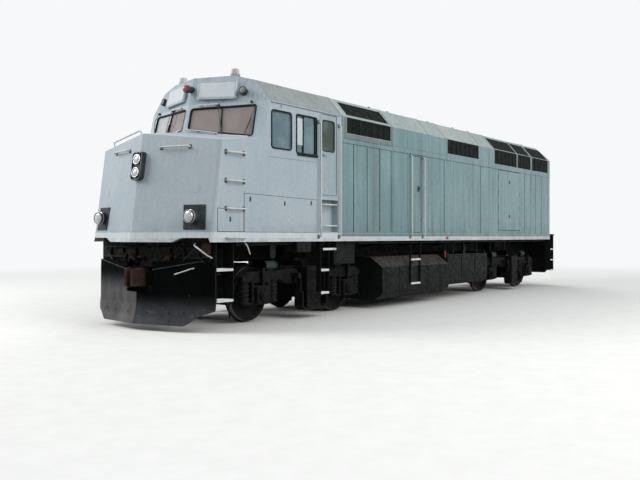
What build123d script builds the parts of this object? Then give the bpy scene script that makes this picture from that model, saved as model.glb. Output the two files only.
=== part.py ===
from build123d import *
import os
from math import atan2, degrees, sqrt

os.makedirs("parts", exist_ok=True)

# Millimetres. X points forward, Y to the left, Z up. X is zero midway between
# the coupler faces and z is zero at the bottom of the wheel flanges.

# Rail top above the flange bottoms
RAIL = 25

# Overall sizes
COUPLER_X = 8560
HALF_W = 1550
NOSE_X = 8505
REAR_X = -7300
CAB_REAR_X = 4420
SPLIT_X = 6900
SILL_Z = RAIL + 1485
SILL_TOP = SILL_Z + 165
DECK_T = 35
DECK_LOW = SILL_TOP - DECK_T
EAVE_Z = RAIL + 4020
SHOULDER_Y = 1200
SHOULDER_Z = EAVE_Z + 405
CROWN_Y = 800
CROWN_Z = EAVE_Z + 515

# Panels
WALL = 50

# Running fit of a pin, shaft or seat
RUN_GAP = 0.3

# Nose: two front faces meeting at a centre crease, leaning back
NOSE_REF_Z = RAIL + 1600
NOSE_SLOPE = 0.26
NOSE_LEAN = 0.145
DECK_RISE = 0.13
DECK_FALL = 0.15
DECK_X = 8240
DECK_Z = RAIL + 3376
DECK_ROOM = DECK_Z + 600
NOSE_ROUND = 90

# Cab front: two windscreen faces meeting at a centre crease, leaning back
CAB_X = 7276
CAB_REF_Z = RAIL + 3535
CAB_SLOPE = 0.325
CAB_LEAN = 0.2515
CAB_FLOOR_Z = RAIL + 2388
FLOOR_T = 60

# Doors, hung inside the wall on two hinges each
DOOR_GAP = 10
DOOR_T = 36
DOOR_IN = HALF_W - 42
DOOR_ROUND = 45
CAB_DOOR = (4596, 5140)
CAB_DOOR_Z = (CAB_FLOOR_Z, RAIL + 3980)
ENGINE_DOOR = (1170, 1642)
ENGINE_DOOR_Z = (SILL_TOP + 20, RAIL + 3460)
END_DOOR = (-320, 320)
END_DOOR_Z = (SILL_TOP + 20, RAIL + 3560)
END_DOOR_IN = 6
HINGE_R = 14
HINGE_PIN_R = 8
HINGE_H = 90

# Underframe
CENTRE_SILL = (300, 420)
CENTRE_Z = 1150
END_X = 7880
FRONT_END_X = NOSE_X - NOSE_SLOPE * HALF_W - 102

# Couplers
COUPLER_Z = RAIL + 876
PIVOT_X = 7650
PIN_R = 42
POCKET_LOW = COUPLER_Z - 150
POCKET_TOP = COUPLER_Z + 160

# Trucks
TRUCK_X = 5029
AXLE_X = 1371.5
WHEEL_R = 508
FLANGE_R = WHEEL_R + RAIL
AXLE_Z = FLANGE_R
WHEEL_IN = 681
WHEEL_W = 140
JOURNAL_R = 75
AXLE_R = 90
FRAME_Y0 = 960
FRAME_Y1 = 1120
PLATE_Z = AXLE_Z + 577


def block(x0, x1, y0, y1, z0, z1, mode=Mode.ADD):
    with Locations(((x0 + x1) / 2, (y0 + y1) / 2, (z0 + z1) / 2)):
        Box(abs(x1 - x0), abs(y1 - y0), abs(z1 - z0), mode=mode)


def rod(x, y, z, radius, length, turn=(0, 0, 0), mode=Mode.ADD):
    with Locations(Location((x, y, z), turn)):
        Cylinder(radius, length, mode=mode)


def across(points, y0, y1, corner=0, mode=Mode.ADD):
    """A side-view outline of (x, z) points with rounded corners, as wide as y0 to y1."""
    with BuildSketch(Plane((0, y0, 0), x_dir=(1, 0, 0), z_dir=(0, -1, 0))) as outline:
        with BuildLine():
            Polyline(*points, close=True)
        make_face()
        if corner:
            fillet(outline.vertices(), corner)
    extrude(outline.sketch, amount=y0 - y1, mode=mode)


def along(points, x0, x1, corner=0, mode=Mode.ADD):
    """A front-view outline of (y, z) points with rounded corners, as long as x0 to x1."""
    with BuildSketch(Plane.YZ.offset(x0)) as outline:
        with BuildLine():
            Polyline(*points, close=True)
        make_face()
        if corner:
            fillet(outline.vertices(), corner)
    extrude(outline.sketch, amount=x1 - x0, mode=mode)


def side_pane(x0, x1, z0, z1, y0, y1, corner, mode=Mode.ADD):
    """A rounded rectangle in side view, as wide as y0 to y1."""
    across([(x0, z0), (x1, z0), (x1, z1), (x0, z1)], y0, y1, corner, mode)


def pipe(points, radius, bend):
    """A round bar along straight runs joined by bends."""
    with BuildLine() as route:
        FilletPolyline(*points, radius=bend)
    start = route.wire() @ 0
    with BuildSketch(Plane(start, z_dir=route.wire() % 0)) as ring:
        Circle(radius)
    sweep(ring.sketch, path=route.wire())


def wedge(tip_x, ref_z, slope, lean, half, back, z0, z1, mode=Mode.ADD):
    """A block with a creased front that leans back as it rises."""
    sections = []
    for z in (z0, z1):
        tip = tip_x - lean * (z - ref_z)
        with BuildSketch(Plane.XY.offset(z)) as section:
            with BuildLine():
                Polyline((back, -half), (tip - slope * half, -half), (tip, 0),
                         (tip - slope * half, half), (back, half), close=True)
            make_face()
        sections.append(section.sketch)
    loft(sections, ruled=True, mode=mode)


def nose_wedge(push, half, back, z0, z1, mode=Mode.ADD):
    wedge(NOSE_X + push, NOSE_REF_Z, NOSE_SLOPE, NOSE_LEAN, half, back, z0, z1, mode)


def cab_wedge(push, half, back, z0, z1, mode=Mode.ADD):
    wedge(CAB_X + push, CAB_REF_Z, CAB_SLOPE, CAB_LEAN, half, back, z0, z1, mode)


def cab_face_x(y, z):
    """Where the cab's leaning front lies along X."""
    return CAB_X - CAB_SLOPE * abs(y) - CAB_LEAN * (z - CAB_REF_Z)


# Panel thickness measured along X on the leaning faces, and upright on the deck
NOSE_SKIN = WALL * sqrt(1 + NOSE_SLOPE ** 2 + NOSE_LEAN ** 2)
CAB_SKIN = WALL * sqrt(1 + CAB_SLOPE ** 2 + CAB_LEAN ** 2)
DECK_SKIN = WALL * sqrt(1 + DECK_RISE ** 2 + DECK_FALL ** 2)


def deck_cut(drop):
    for side in (1, -1):
        split(bisect_by=Plane((DECK_X, 0, DECK_Z - drop),
                              z_dir=(DECK_RISE, side * DECK_FALL, 1)), keep=Keep.BOTTOM)


def body_section(inset, x0, x1, z0, mode=Mode.ADD):
    """The body above z0 from x0 to x1, drawn in all round by a panel's thickness."""
    with BuildSketch(Plane.YZ.offset(x0)) as outline:
        with BuildLine():
            Polyline((-HALF_W, z0 - HALF_W), (-HALF_W, EAVE_Z), (-SHOULDER_Y, SHOULDER_Z),
                     (-CROWN_Y, CROWN_Z), (CROWN_Y, CROWN_Z), (SHOULDER_Y, SHOULDER_Z),
                     (HALF_W, EAVE_Z), (HALF_W, z0 - HALF_W), close=True)
        make_face()
        if inset:
            offset(amount=-inset, kind=Kind.INTERSECTION, mode=Mode.REPLACE)
        with Locations((0, z0 + HALF_W * 2)):
            Rectangle(HALF_W * 4, HALF_W * 4, mode=Mode.INTERSECT)
    extrude(outline.sketch, amount=x1 - x0, mode=mode)


def front_corners(edges, half):
    """The upright edges where the nose faces meet the sides."""
    return [e for e in edges if abs(e.center().Y) > half - 1 and e.center().X > SPLIT_X + 1
            and abs((e % 0.5).Z) > 0.9]


# Nose: solid form, hollow and the shell between them
with BuildPart() as nose_block:
    nose_wedge(0, HALF_W, SPLIT_X, SILL_TOP, DECK_ROOM)
    deck_cut(0)
    fillet(front_corners(nose_block.edges(), HALF_W), NOSE_ROUND)

with BuildPart() as nose_hollow:
    nose_wedge(-NOSE_SKIN, HALF_W - WALL, SPLIT_X - WALL, SILL_TOP - WALL, DECK_ROOM)
    deck_cut(DECK_SKIN)

with BuildPart() as nose_shell:
    add(nose_block.part)
    add(nose_hollow.part, mode=Mode.SUBTRACT)
nose_shell.part.label = "nose_shell"
export_step(nose_shell.part, "parts/nose_shell.step")

# Windscreen opening as (y, z) corners for the left side, side windows as (x0, x1, z0, z1)
SCREEN = [(80, RAIL + 3545), (HALF_W - 220, RAIL + 3375), (HALF_W - 240, RAIL + 3950),
          (70, RAIL + 3935)]
SCREEN_ROUND = 40
SCREEN_X = (CAB_X - 776, CAB_X + 224)
SIDE_WINDOWS = [(6060, 6600, RAIL + 3190, RAIL + 3845),
                (5275, 5900, RAIL + 3145, RAIL + 3865)]
WINDOW_ROUND = 45


def screen_cut(mode):
    for side in (1, -1):
        along([(side * y, z) for y, z in SCREEN], *SCREEN_X, SCREEN_ROUND, mode)


# Foot recess in the side below each cab door, with its rungs
RECESS_T = 18
RECESS_X = (4560, 5100)
RECESS_Z = (SILL_TOP + RECESS_T, CAB_FLOOR_Z - FLOOR_T - 10 - RECESS_T)
RECESS_IN = 150
RUNGS = (RAIL + 1790, RAIL + 2210)
RUNG_R = 14

with BuildPart() as cab_lower:
    block(CAB_REAR_X, SPLIT_X, -HALF_W, HALF_W, SILL_TOP, DECK_ROOM)
    deck_cut(0)

with BuildPart() as cab_under:
    block(CAB_REAR_X - WALL, SPLIT_X + WALL, -HALF_W + WALL, HALF_W - WALL, SILL_TOP - WALL,
          DECK_ROOM)
    deck_cut(DECK_SKIN)

with BuildPart() as cab_hollow:
    cab_wedge(-CAB_SKIN, HALF_W - WALL, CAB_REAR_X - WALL, SILL_TOP - WALL, EAVE_Z + WALL)
    add(cab_under.part)

with BuildPart() as cab_shell:
    cab_wedge(0, HALF_W, CAB_REAR_X, CAB_REF_Z - 500, EAVE_Z)
    add(cab_lower.part)
    add(cab_hollow.part, mode=Mode.SUBTRACT)
    add(nose_block.part, mode=Mode.SUBTRACT)
    screen_cut(Mode.SUBTRACT)
    for x0, x1, z0, z1 in SIDE_WINDOWS:
        side_pane(x0, x1, z0, z1, HALF_W + WALL, -HALF_W - WALL, WINDOW_ROUND, Mode.SUBTRACT)
    side_pane(*CAB_DOOR, *CAB_DOOR_Z, HALF_W + WALL, -HALF_W - WALL, DOOR_ROUND, Mode.SUBTRACT)
    for side in (1, -1):
        block(RECESS_X[0] - RECESS_T, RECESS_X[1] + RECESS_T,
              side * (HALF_W - RECESS_IN - RECESS_T), side * (HALF_W - WALL / 2),
              RECESS_Z[0] - RECESS_T, RECESS_Z[1] + RECESS_T)
        block(*RECESS_X, side * (HALF_W - RECESS_IN), side * (HALF_W + WALL), *RECESS_Z,
              mode=Mode.SUBTRACT)
        for z in RUNGS:
            rod((RECESS_X[0] + RECESS_X[1]) / 2, side * (HALF_W - 30), z, RUNG_R,
                RECESS_X[1] - RECESS_X[0], (0, 90, 0))
cab_shell.part.label = "cab_shell"
export_step(cab_shell.part, "parts/cab_shell.step")

# Windscreens and side panes, set back in their openings
GLASS_IN = 18
GLASS_T = 10
with BuildPart() as screen_sheet:
    for depth, mode in ((GLASS_IN, Mode.ADD), (GLASS_IN + GLASS_T, Mode.SUBTRACT)):
        cab_wedge(-depth * CAB_SKIN / WALL, HALF_W, CAB_REAR_X, CAB_REF_Z - 500, EAVE_Z, mode)

with BuildPart() as cab_glass:
    screen_cut(Mode.ADD)
    add(screen_sheet.part, mode=Mode.INTERSECT)
    for x0, x1, z0, z1 in SIDE_WINDOWS:
        for side in (1, -1):
            y = side * (HALF_W - GLASS_IN)
            side_pane(x0, x1, z0, z1, y, y - side * GLASS_T, WINDOW_ROUND)
cab_glass.part.label = "cab_glass"
export_step(cab_glass.part, "parts/cab_glass.step")

# Cab roof and hood roof, one bevelled section
ROOF_X = CAB_X + 100
with BuildPart() as cab_front:
    cab_wedge(0, HALF_W, CAB_REAR_X, EAVE_Z, CROWN_Z + 200)

with BuildPart() as roof_hollow:
    cab_wedge(-CAB_SKIN, HALF_W, CAB_REAR_X - WALL, EAVE_Z - WALL, CROWN_Z + 200)
    body_section(WALL, CAB_REAR_X - WALL, ROOF_X, EAVE_Z - WALL, Mode.INTERSECT)

with BuildPart() as cab_roof:
    body_section(0, CAB_REAR_X, ROOF_X, EAVE_Z)
    add(cab_front.part, mode=Mode.INTERSECT)
    add(roof_hollow.part, mode=Mode.SUBTRACT)
cab_roof.part.label = "cab_roof"
export_step(cab_roof.part, "parts/cab_roof.step")

# Side grille openings as (x0, x1, z0), each up to the eave
SIDE_GRILLES = [(2540, 4260, RAIL + 3680), (-1980, -160, RAIL + 3648),
                (-4582, -2990, RAIL + 3608), (-5662, -4638, RAIL + 3608),
                (-7115, -5768, RAIL + 3608)]

for side, word in ((1, "left"), (-1, "right")):
    with BuildPart() as hood_wall:
        block(REAR_X, CAB_REAR_X, side * HALF_W, side * (HALF_W - WALL), SILL_TOP, EAVE_Z)
        for x0, x1, z0 in SIDE_GRILLES:
            block(x0, x1, side * (HALF_W + WALL), side * (HALF_W - 2 * WALL), z0, EAVE_Z,
                  mode=Mode.SUBTRACT)
        side_pane(*ENGINE_DOOR, *ENGINE_DOOR_Z, side * (HALF_W + WALL),
                  side * (HALF_W - 2 * WALL), DOOR_ROUND, Mode.SUBTRACT)
    hood_wall.part.label = f"hood_wall_{word}"
    export_step(hood_wall.part, f"parts/hood_wall_{word}.step")

# Openings in the roof bevel as (x0, x1, height above the eave), and fan openings as (x, radius)
BEVEL_GRILLES = [(2560, 4190, 48), (-4570, -3002, 14), (-5650, -4650, 14), (-7103, -5780, 14)]
BEVEL_IN = 60
FANS = [(-3780, 590), (-5120, 590), (-6420, 590), (3800, 480), (2700, 480)]
REAR_SLOPE_X = 420
REAR_SLOPE_Z = 120


def bevel_window(side, x0, x1, rise, mode=Mode.ADD):
    """Cuts or fills a window in the roof bevel of one side."""
    low = EAVE_Z + rise
    high = SHOULDER_Z - BEVEL_IN
    along([(side * (HALF_W + WALL), low), (side * (SHOULDER_Y + 2 * WALL), high),
           (side * (SHOULDER_Y - 2 * WALL), high), (side * (SHOULDER_Y - 2 * WALL), low)],
          x0, x1, mode=mode)


with BuildPart() as hood_roof:
    body_section(0, REAR_X, CAB_REAR_X, EAVE_Z)
    body_section(WALL, REAR_X - WALL, CAB_REAR_X + WALL, EAVE_Z - WALL, Mode.SUBTRACT)
    for x0, x1, rise in BEVEL_GRILLES:
        for side in (1, -1):
            bevel_window(side, x0, x1, rise, Mode.SUBTRACT)
    for x, radius in FANS:
        rod(x, 0, CROWN_Z, radius, 4 * WALL, mode=Mode.SUBTRACT)
    across([(REAR_X - WALL, EAVE_Z + REAR_SLOPE_Z), (REAR_X, EAVE_Z + REAR_SLOPE_Z),
            (REAR_X + REAR_SLOPE_X, CROWN_Z), (REAR_X + REAR_SLOPE_X, CROWN_Z + WALL),
            (REAR_X - WALL, CROWN_Z + WALL)], -HALF_W, HALF_W, mode=Mode.SUBTRACT)
hood_roof.part.label = "hood_roof"
export_step(hood_roof.part, "parts/hood_roof.step")

# Rear end wall with its sloped cap, and the bulkhead behind the cab
with BuildPart() as end_form:
    body_section(WALL, REAR_X, REAR_X + 2 * REAR_SLOPE_X, SILL_TOP)

CAP_SKIN = WALL * sqrt(1 + (REAR_SLOPE_X / (CROWN_Z - EAVE_Z - REAR_SLOPE_Z)) ** 2)
with BuildPart() as end_wall:
    across([(REAR_X, SILL_TOP), (REAR_X + WALL, SILL_TOP),
            (REAR_X + WALL, EAVE_Z + REAR_SLOPE_Z - CAP_SKIN / 4),
            (REAR_X + REAR_SLOPE_X + CAP_SKIN, CROWN_Z), (REAR_X + REAR_SLOPE_X, CROWN_Z),
            (REAR_X, EAVE_Z + REAR_SLOPE_Z)], -HALF_W, HALF_W)
    add(end_form.part, mode=Mode.INTERSECT)
    block(REAR_X - WALL, REAR_X + 2 * WALL, *END_DOOR, *END_DOOR_Z, mode=Mode.SUBTRACT)
end_wall.part.label = "end_wall"
export_step(end_wall.part, "parts/end_wall.step")

BULKHEAD_T = 40
with BuildPart() as cab_bulkhead:
    body_section(WALL, CAB_REAR_X, CAB_REAR_X + BULKHEAD_T, SILL_TOP)
cab_bulkhead.part.label = "cab_bulkhead"
export_step(cab_bulkhead.part, "parts/cab_bulkhead.step")

with BuildPart() as cab_floor:
    block(CAB_REAR_X + BULKHEAD_T, SPLIT_X, -HALF_W + WALL, HALF_W - WALL,
          CAB_FLOOR_Z - FLOOR_T, CAB_FLOOR_Z)
cab_floor.part.label = "cab_floor"
export_step(cab_floor.part, "parts/cab_floor.step")

# Sloped desks below the windscreens as (y0, y1), and two chairs
DESKS = [(-1100, -150), (250, 1100)]
DESK_X = 6250
SEAT_H = 400
with BuildPart() as cab_fittings:
    for y0, y1 in DESKS:
        across([(DESK_X + 150, CAB_FLOOR_Z), (DESK_X, CAB_FLOOR_Z + 650),
                (DESK_X, CAB_FLOOR_Z + 740), (SPLIT_X - 60, CAB_FLOOR_Z + 860),
                (SPLIT_X - 60, CAB_FLOOR_Z)], y1, y0, 20)
    for y in (-950, 950):
        rod(5640, y, CAB_FLOOR_Z + 25, 200, 50)
        rod(5640, y, CAB_FLOOR_Z + SEAT_H / 2, 50, SEAT_H)
        across([(5400, CAB_FLOOR_Z + SEAT_H), (5900, CAB_FLOOR_Z + SEAT_H),
                (5920, CAB_FLOOR_Z + SEAT_H + 110), (5530, CAB_FLOOR_Z + SEAT_H + 90),
                (5440, CAB_FLOOR_Z + SEAT_H + 720), (5340, CAB_FLOOR_Z + SEAT_H + 720)],
               y + 230, y - 230, 30)
cab_fittings.part.label = "cab_fittings"
export_step(cab_fittings.part, "parts/cab_fittings.step")

# Underframe: floor plate, centre sills with end plates, bearers and body bolsters
FLOOR_HALF = HALF_W - 80
BEARERS = [-6850, -3250, -1500, 250, 1900, 3300, 6950]
BEARER_T = 60
BEARER_MID_Z = 1350
BEARER_END_Z = 1520
BOLSTER_HALF = 260
PLATFORM = 640
with BuildPart() as floor_plate:
    block(REAR_X - PLATFORM, FRONT_END_X, -FLOOR_HALF, FLOOR_HALF, DECK_LOW, SILL_TOP)
floor_plate.part.label = "floor_plate"
export_step(floor_plate.part, "parts/floor_plate.step")

END_T = 40
FRONT_END_HALF = HALF_W - 170
REAR_END_HALF = HALF_W - 110
with BuildPart() as main_frame:
    for side in (1, -1):
        block(-END_X, FRONT_END_X - END_T, side * CENTRE_SILL[0], side * CENTRE_SILL[1],
              CENTRE_Z, DECK_LOW)
    along([(-FRONT_END_HALF, DECK_LOW), (-FRONT_END_HALF, CENTRE_Z + 30),
           (-CENTRE_SILL[1] - 100, CENTRE_Z - 20), (CENTRE_SILL[1] + 100, CENTRE_Z - 20),
           (FRONT_END_HALF, CENTRE_Z + 30), (FRONT_END_HALF, DECK_LOW)],
          FRONT_END_X - END_T, FRONT_END_X)
    along([(-REAR_END_HALF, DECK_LOW), (-REAR_END_HALF, CENTRE_Z + 150),
           (-CENTRE_SILL[1] - 100, CENTRE_Z + 30), (CENTRE_SILL[1] + 100, CENTRE_Z + 30),
           (REAR_END_HALF, CENTRE_Z + 150), (REAR_END_HALF, DECK_LOW)],
          -END_X - END_T, -END_X)
main_frame.part.label = "main_frame"
export_step(main_frame.part, "parts/main_frame.step")

with BuildPart() as cross_members:
    for x in BEARERS:
        for side in (1, -1):
            along([(side * CENTRE_SILL[1], DECK_LOW), (side * CENTRE_SILL[1], BEARER_MID_Z),
                   (side * FLOOR_HALF, BEARER_END_Z), (side * FLOOR_HALF, DECK_LOW)],
                  x - BEARER_T / 2, x + BEARER_T / 2)
        block(x - BEARER_T / 2, x + BEARER_T / 2, -CENTRE_SILL[0], CENTRE_SILL[0],
              BEARER_MID_Z, DECK_LOW)
    for x in (-TRUCK_X, TRUCK_X):
        along([(-760, DECK_LOW), (-760, 1300), (-560, PLATE_Z), (560, PLATE_Z),
               (760, 1300), (760, DECK_LOW)], x - BOLSTER_HALF, x + BOLSTER_HALF)
        for side in (1, -1):
            block(x - BOLSTER_HALF, x + BOLSTER_HALF, side * CENTRE_SILL[0],
                  side * CENTRE_SILL[1], CENTRE_Z, DECK_LOW, mode=Mode.SUBTRACT)
cross_members.part.label = "cross_members"
export_step(cross_members.part, "parts/cross_members.step")

# Coupler pockets under the ends of the centre sills
POCKET_X = 7250
POCKET_HALF = 230
POCKET_T = 60
POCKET_FLOOR = 40
with BuildPart() as draft_gear:
    for x0, x1 in ((POCKET_X, FRONT_END_X - END_T), (-END_X, -POCKET_X)):
        block(x0, x1, -CENTRE_SILL[1], CENTRE_SILL[1], POCKET_TOP, CENTRE_Z)
        for side in (1, -1):
            block(x0, x1, side * (POCKET_HALF - POCKET_T), side * POCKET_HALF,
                  POCKET_LOW - POCKET_FLOOR, POCKET_TOP)
        block(x0, x1, -POCKET_HALF, POCKET_HALF, POCKET_LOW - POCKET_FLOOR, POCKET_LOW)
draft_gear.part.label = "draft_gear"
export_step(draft_gear.part, "parts/draft_gear.step")

# Pale sill: side bars and a creased front strip with its lower edge raised
SILL_OUT = 6
SILL_T = 70
NOTCH_Y = (965, HALF_W - 65)
NOTCH_H = 72
with BuildPart() as side_sills:
    nose_wedge(SILL_OUT, HALF_W + SILL_OUT, REAR_X, SILL_Z, SILL_TOP)
    fillet(front_corners(side_sills.edges(), HALF_W + SILL_OUT), NOSE_ROUND)
    nose_wedge(SILL_OUT - SILL_T, FLOOR_HALF, REAR_X - WALL, SILL_Z - WALL, SILL_TOP + WALL,
               Mode.SUBTRACT)
    for side in (1, -1):
        along([(side * (NOTCH_Y[0] - 160), SILL_Z - 1), (side * NOTCH_Y[0], SILL_Z + NOTCH_H),
               (side * NOTCH_Y[1], SILL_Z + NOTCH_H), (side * (NOTCH_Y[1] + 30), SILL_Z - 1)],
              FRONT_END_X - 50, COUPLER_X, mode=Mode.SUBTRACT)
side_sills.part.label = "side_sills"
export_step(side_sills.part, "parts/side_sills.step")

# Engine and generator as one plain mass on the floor
ENGINE_X = (-1700, 3400)
ENGINE_HALF = 700
ENGINE_TOP = RAIL + 3500
with BuildPart() as engine_block:
    block(*ENGINE_X, -ENGINE_HALF, ENGINE_HALF, SILL_TOP, ENGINE_TOP)
engine_block.part.label = "engine_block"
export_step(engine_block.part, "parts/engine_block.step")

# Fuel tank with sloped shoulders, between the trucks, with its filler necks
WHEEL_ROOM = TRUCK_X - AXLE_X - FLANGE_R
TANK_X = (-330, WHEEL_ROOM - 325)
TANK_HALF = HALF_W - 50
TANK_LOW = 195
TANK_SHOULDER = (TANK_HALF - 320, CENTRE_Z - 225)
TANK_SIDE = [(-TANK_SHOULDER[0], CENTRE_Z), (-TANK_HALF, TANK_SHOULDER[1]),
             (-TANK_HALF, TANK_LOW + 145), (-TANK_HALF + 200, TANK_LOW)]
TANK_ROUND = 90
TANK_SLOPE = degrees(atan2(TANK_HALF - TANK_SHOULDER[0], CENTRE_Z - TANK_SHOULDER[1]))
FILLER = (990, TANK_HALF - 150, 1030)
FILLER_R = 48
FILLER_L = 110
with BuildPart() as fuel_tank:
    along(TANK_SIDE + [(-y, z) for y, z in reversed(TANK_SIDE)], *TANK_X)
    belly = [e for e in fuel_tank.edges().filter_by(Axis.X)
             if e.center().Z < TANK_SHOULDER[1] - 1]
    fillet(belly, TANK_ROUND)
    for side in (1, -1):
        rod(FILLER[0], side * FILLER[1], FILLER[2], FILLER_R, FILLER_L,
            (side * (TANK_SLOPE - 90), 0, 0))
fuel_tank.part.label = "fuel_tank"
export_step(fuel_tank.part, "parts/fuel_tank.step")

# Equipment boxes behind the tank, hung from the centre sills and the floor
BOX_X = (-WHEEL_ROOM + 295, -440)
BOX_Z = (RAIL + 340, RAIL + 1115)
BOX_Y = (560, HALF_W - 150)
BOX_HANGERS = [BOX_X[0] + 90, BEARERS[2] - BEARER_T / 2, BOX_X[1] - 120]
BOX_HANG_Z = 1200
with BuildPart() as equipment_boxes:
    for side in (1, -1):
        along([(side * BOX_Y[0], BOX_Z[0]), (side * (BOX_Y[1] - 110), BOX_Z[0]),
               (side * BOX_Y[1], BOX_Z[0] + 110), (side * BOX_Y[1], BOX_Z[1]),
               (side * BOX_Y[0], BOX_Z[1])], *BOX_X, 12)
        for x in BOX_HANGERS:
            block(x, x + BEARER_T, side * CENTRE_SILL[1], side * (BOX_Y[1] - 20), BOX_Z[1],
                  BOX_HANG_Z)
        x = BEARERS[2] + BEARER_T / 2
        block(x - BEARER_T, x + BEARER_T, side * (BOX_Y[1] - 100), side * (BOX_Y[1] - 20),
              BOX_Z[1], BEARER_MID_Z)
        block(x, x + BEARER_T, side * (BOX_Y[1] - 100), side * (BOX_Y[1] - 20),
              BEARER_MID_Z, DECK_LOW)
equipment_boxes.part.label = "equipment_boxes"
export_step(equipment_boxes.part, "parts/equipment_boxes.step")

# Plow: a creased blade, curved forward below, as (z, crease x) sections
PLOW_LOW_Z = RAIL + 85
PLOW_TOP_Z = RAIL + 1165
PLOW_SECTIONS = [(PLOW_LOW_Z, NOSE_X - 20), (PLOW_LOW_Z + 130, NOSE_X - 75),
                 (PLOW_LOW_Z + 340, NOSE_X - 115), (PLOW_TOP_Z, NOSE_X - 120)]
PLOW_SLOPE = 0.2
PLOW_WING_SLOPE = 0.68
PLOW_BEND_Y = HALF_W - 260
PLOW_HALF = HALF_W - 50
PLOW_WING = PLOW_SLOPE * PLOW_BEND_Y + PLOW_WING_SLOPE * (PLOW_HALF - PLOW_BEND_Y)
PLOW_BACK = FRONT_END_X - 200
PLOW_T = 25
PLOW_ROUND = 150
PLOW_NOTCH = (330, COUPLER_Z - 250)
GUSSET_Y = (560, 600)


def plow_body(push, mode=Mode.ADD):
    sections = []
    bend = PLOW_SLOPE * PLOW_BEND_Y
    for z, crease in PLOW_SECTIONS:
        x = crease - push
        with BuildSketch(Plane.XY.offset(z)) as section:
            with BuildLine():
                Polyline((PLOW_BACK, -PLOW_HALF), (x - PLOW_WING, -PLOW_HALF),
                         (x - bend, -PLOW_BEND_Y), (x, 0), (x - bend, PLOW_BEND_Y),
                         (x - PLOW_WING, PLOW_HALF), (PLOW_BACK, PLOW_HALF), close=True)
            make_face()
        sections.append(section.sketch)
    loft(sections, ruled=True, mode=mode)


with BuildPart() as plow_form:
    plow_body(0)

with BuildPart() as gussets:
    for side in (1, -1):
        across([(FRONT_END_X, PLOW_TOP_Z - 10), (NOSE_X, PLOW_TOP_Z - 10),
                (NOSE_X, PLOW_TOP_Z - 600), (FRONT_END_X + 180, PLOW_TOP_Z - 600),
                (FRONT_END_X, PLOW_TOP_Z - 60)], side * GUSSET_Y[0], side * GUSSET_Y[1])
    add(plow_form.part, mode=Mode.INTERSECT)

with BuildPart() as snow_plow:
    add(plow_form.part)
    plow_body(PLOW_T, Mode.SUBTRACT)
    with BuildSketch(Plane.YZ.offset(PLOW_BACK)) as front_view:
        with BuildLine():
            Polyline((-PLOW_HALF, PLOW_TOP_Z), (-PLOW_HALF, PLOW_LOW_Z + 250),
                     (-PLOW_BEND_Y, PLOW_LOW_Z + 170), (-PLOW_BEND_Y + 260, PLOW_LOW_Z),
                     (PLOW_BEND_Y - 260, PLOW_LOW_Z), (PLOW_BEND_Y, PLOW_LOW_Z + 170),
                     (PLOW_HALF, PLOW_LOW_Z + 250), (PLOW_HALF, PLOW_TOP_Z), close=True)
        make_face()
        fillet(front_view.vertices().group_by(Axis.Y)[-1], PLOW_ROUND)
    extrude(front_view.sketch, amount=COUPLER_X - PLOW_BACK, mode=Mode.INTERSECT)
    block(FRONT_END_X, COUPLER_X, -PLOW_NOTCH[0], PLOW_NOTCH[0], PLOW_NOTCH[1], PLOW_TOP_Z + 10,
          mode=Mode.SUBTRACT)
    add(gussets.part)
snow_plow.part.label = "snow_plow"
export_step(snow_plow.part, "parts/snow_plow.step")

# Rear pilot plate, with the same notch round the coupler, and the tread plate above it
PILOT_T = 30
PILOT_HALF = HALF_W - 150
PILOT_TOP = 1400
TREAD_PLATE_X = (REAR_X - PLATFORM, REAR_X - 100)
TREAD_PLATE_T = 6
with BuildPart() as rear_pilot:
    along([(-PILOT_HALF, PILOT_TOP), (-PILOT_HALF, RAIL + 620), (-PILOT_HALF + 250, RAIL + 380),
           (PILOT_HALF - 250, RAIL + 380), (PILOT_HALF, RAIL + 620), (PILOT_HALF, PILOT_TOP)],
          -END_X - END_T, -END_X - END_T - PILOT_T)
    block(-END_X, -COUPLER_X, -PLOW_NOTCH[0], PLOW_NOTCH[0], PLOW_NOTCH[1], PLOW_TOP_Z,
          mode=Mode.SUBTRACT)
    block(*TREAD_PLATE_X, -FLOOR_HALF, FLOOR_HALF, SILL_TOP, SILL_TOP + TREAD_PLATE_T)
rear_pilot.part.label = "rear_pilot"
export_step(rear_pilot.part, "parts/rear_pilot.step")

# Steps and hanging ladders: U-shaped stirrups with treads, as
# (x0, x1, y0, y1, bottom z, top z, heights of the other treads)
BAR_T = 14
TREAD_T = 24
STIRRUP_ROUND = 50
STEP_X1 = int(min(PLOW_SECTIONS[-1][1] - PLOW_WING - PLOW_T, FRONT_END_X - END_T) - 9)
NOSE_STEPS = [(STEP_X1 - 430, STEP_X1, HALF_W - 310, HALF_W - 70, RAIL + 498, SILL_Z,
               (RAIL + 1020,))]
LADDERS = [(4835, 5125, HALF_W - 120, HALF_W - 10, RAIL + 478, SILL_Z, (RAIL + 925,)),
           (4590, 5060, HALF_W - 120, HALF_W - 10, RAIL + 1333, SILL_Z, ()),
           (1180, 1640, HALF_W - 50, HALF_W - 5, RAIL + 493, SILL_Z, (RAIL + 1050,)),
           (-END_X + 10, -END_X + 310, HALF_W - 250, HALF_W - 80, RAIL + 474, DECK_LOW,
            (RAIL + 817, RAIL + 1165))]


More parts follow.
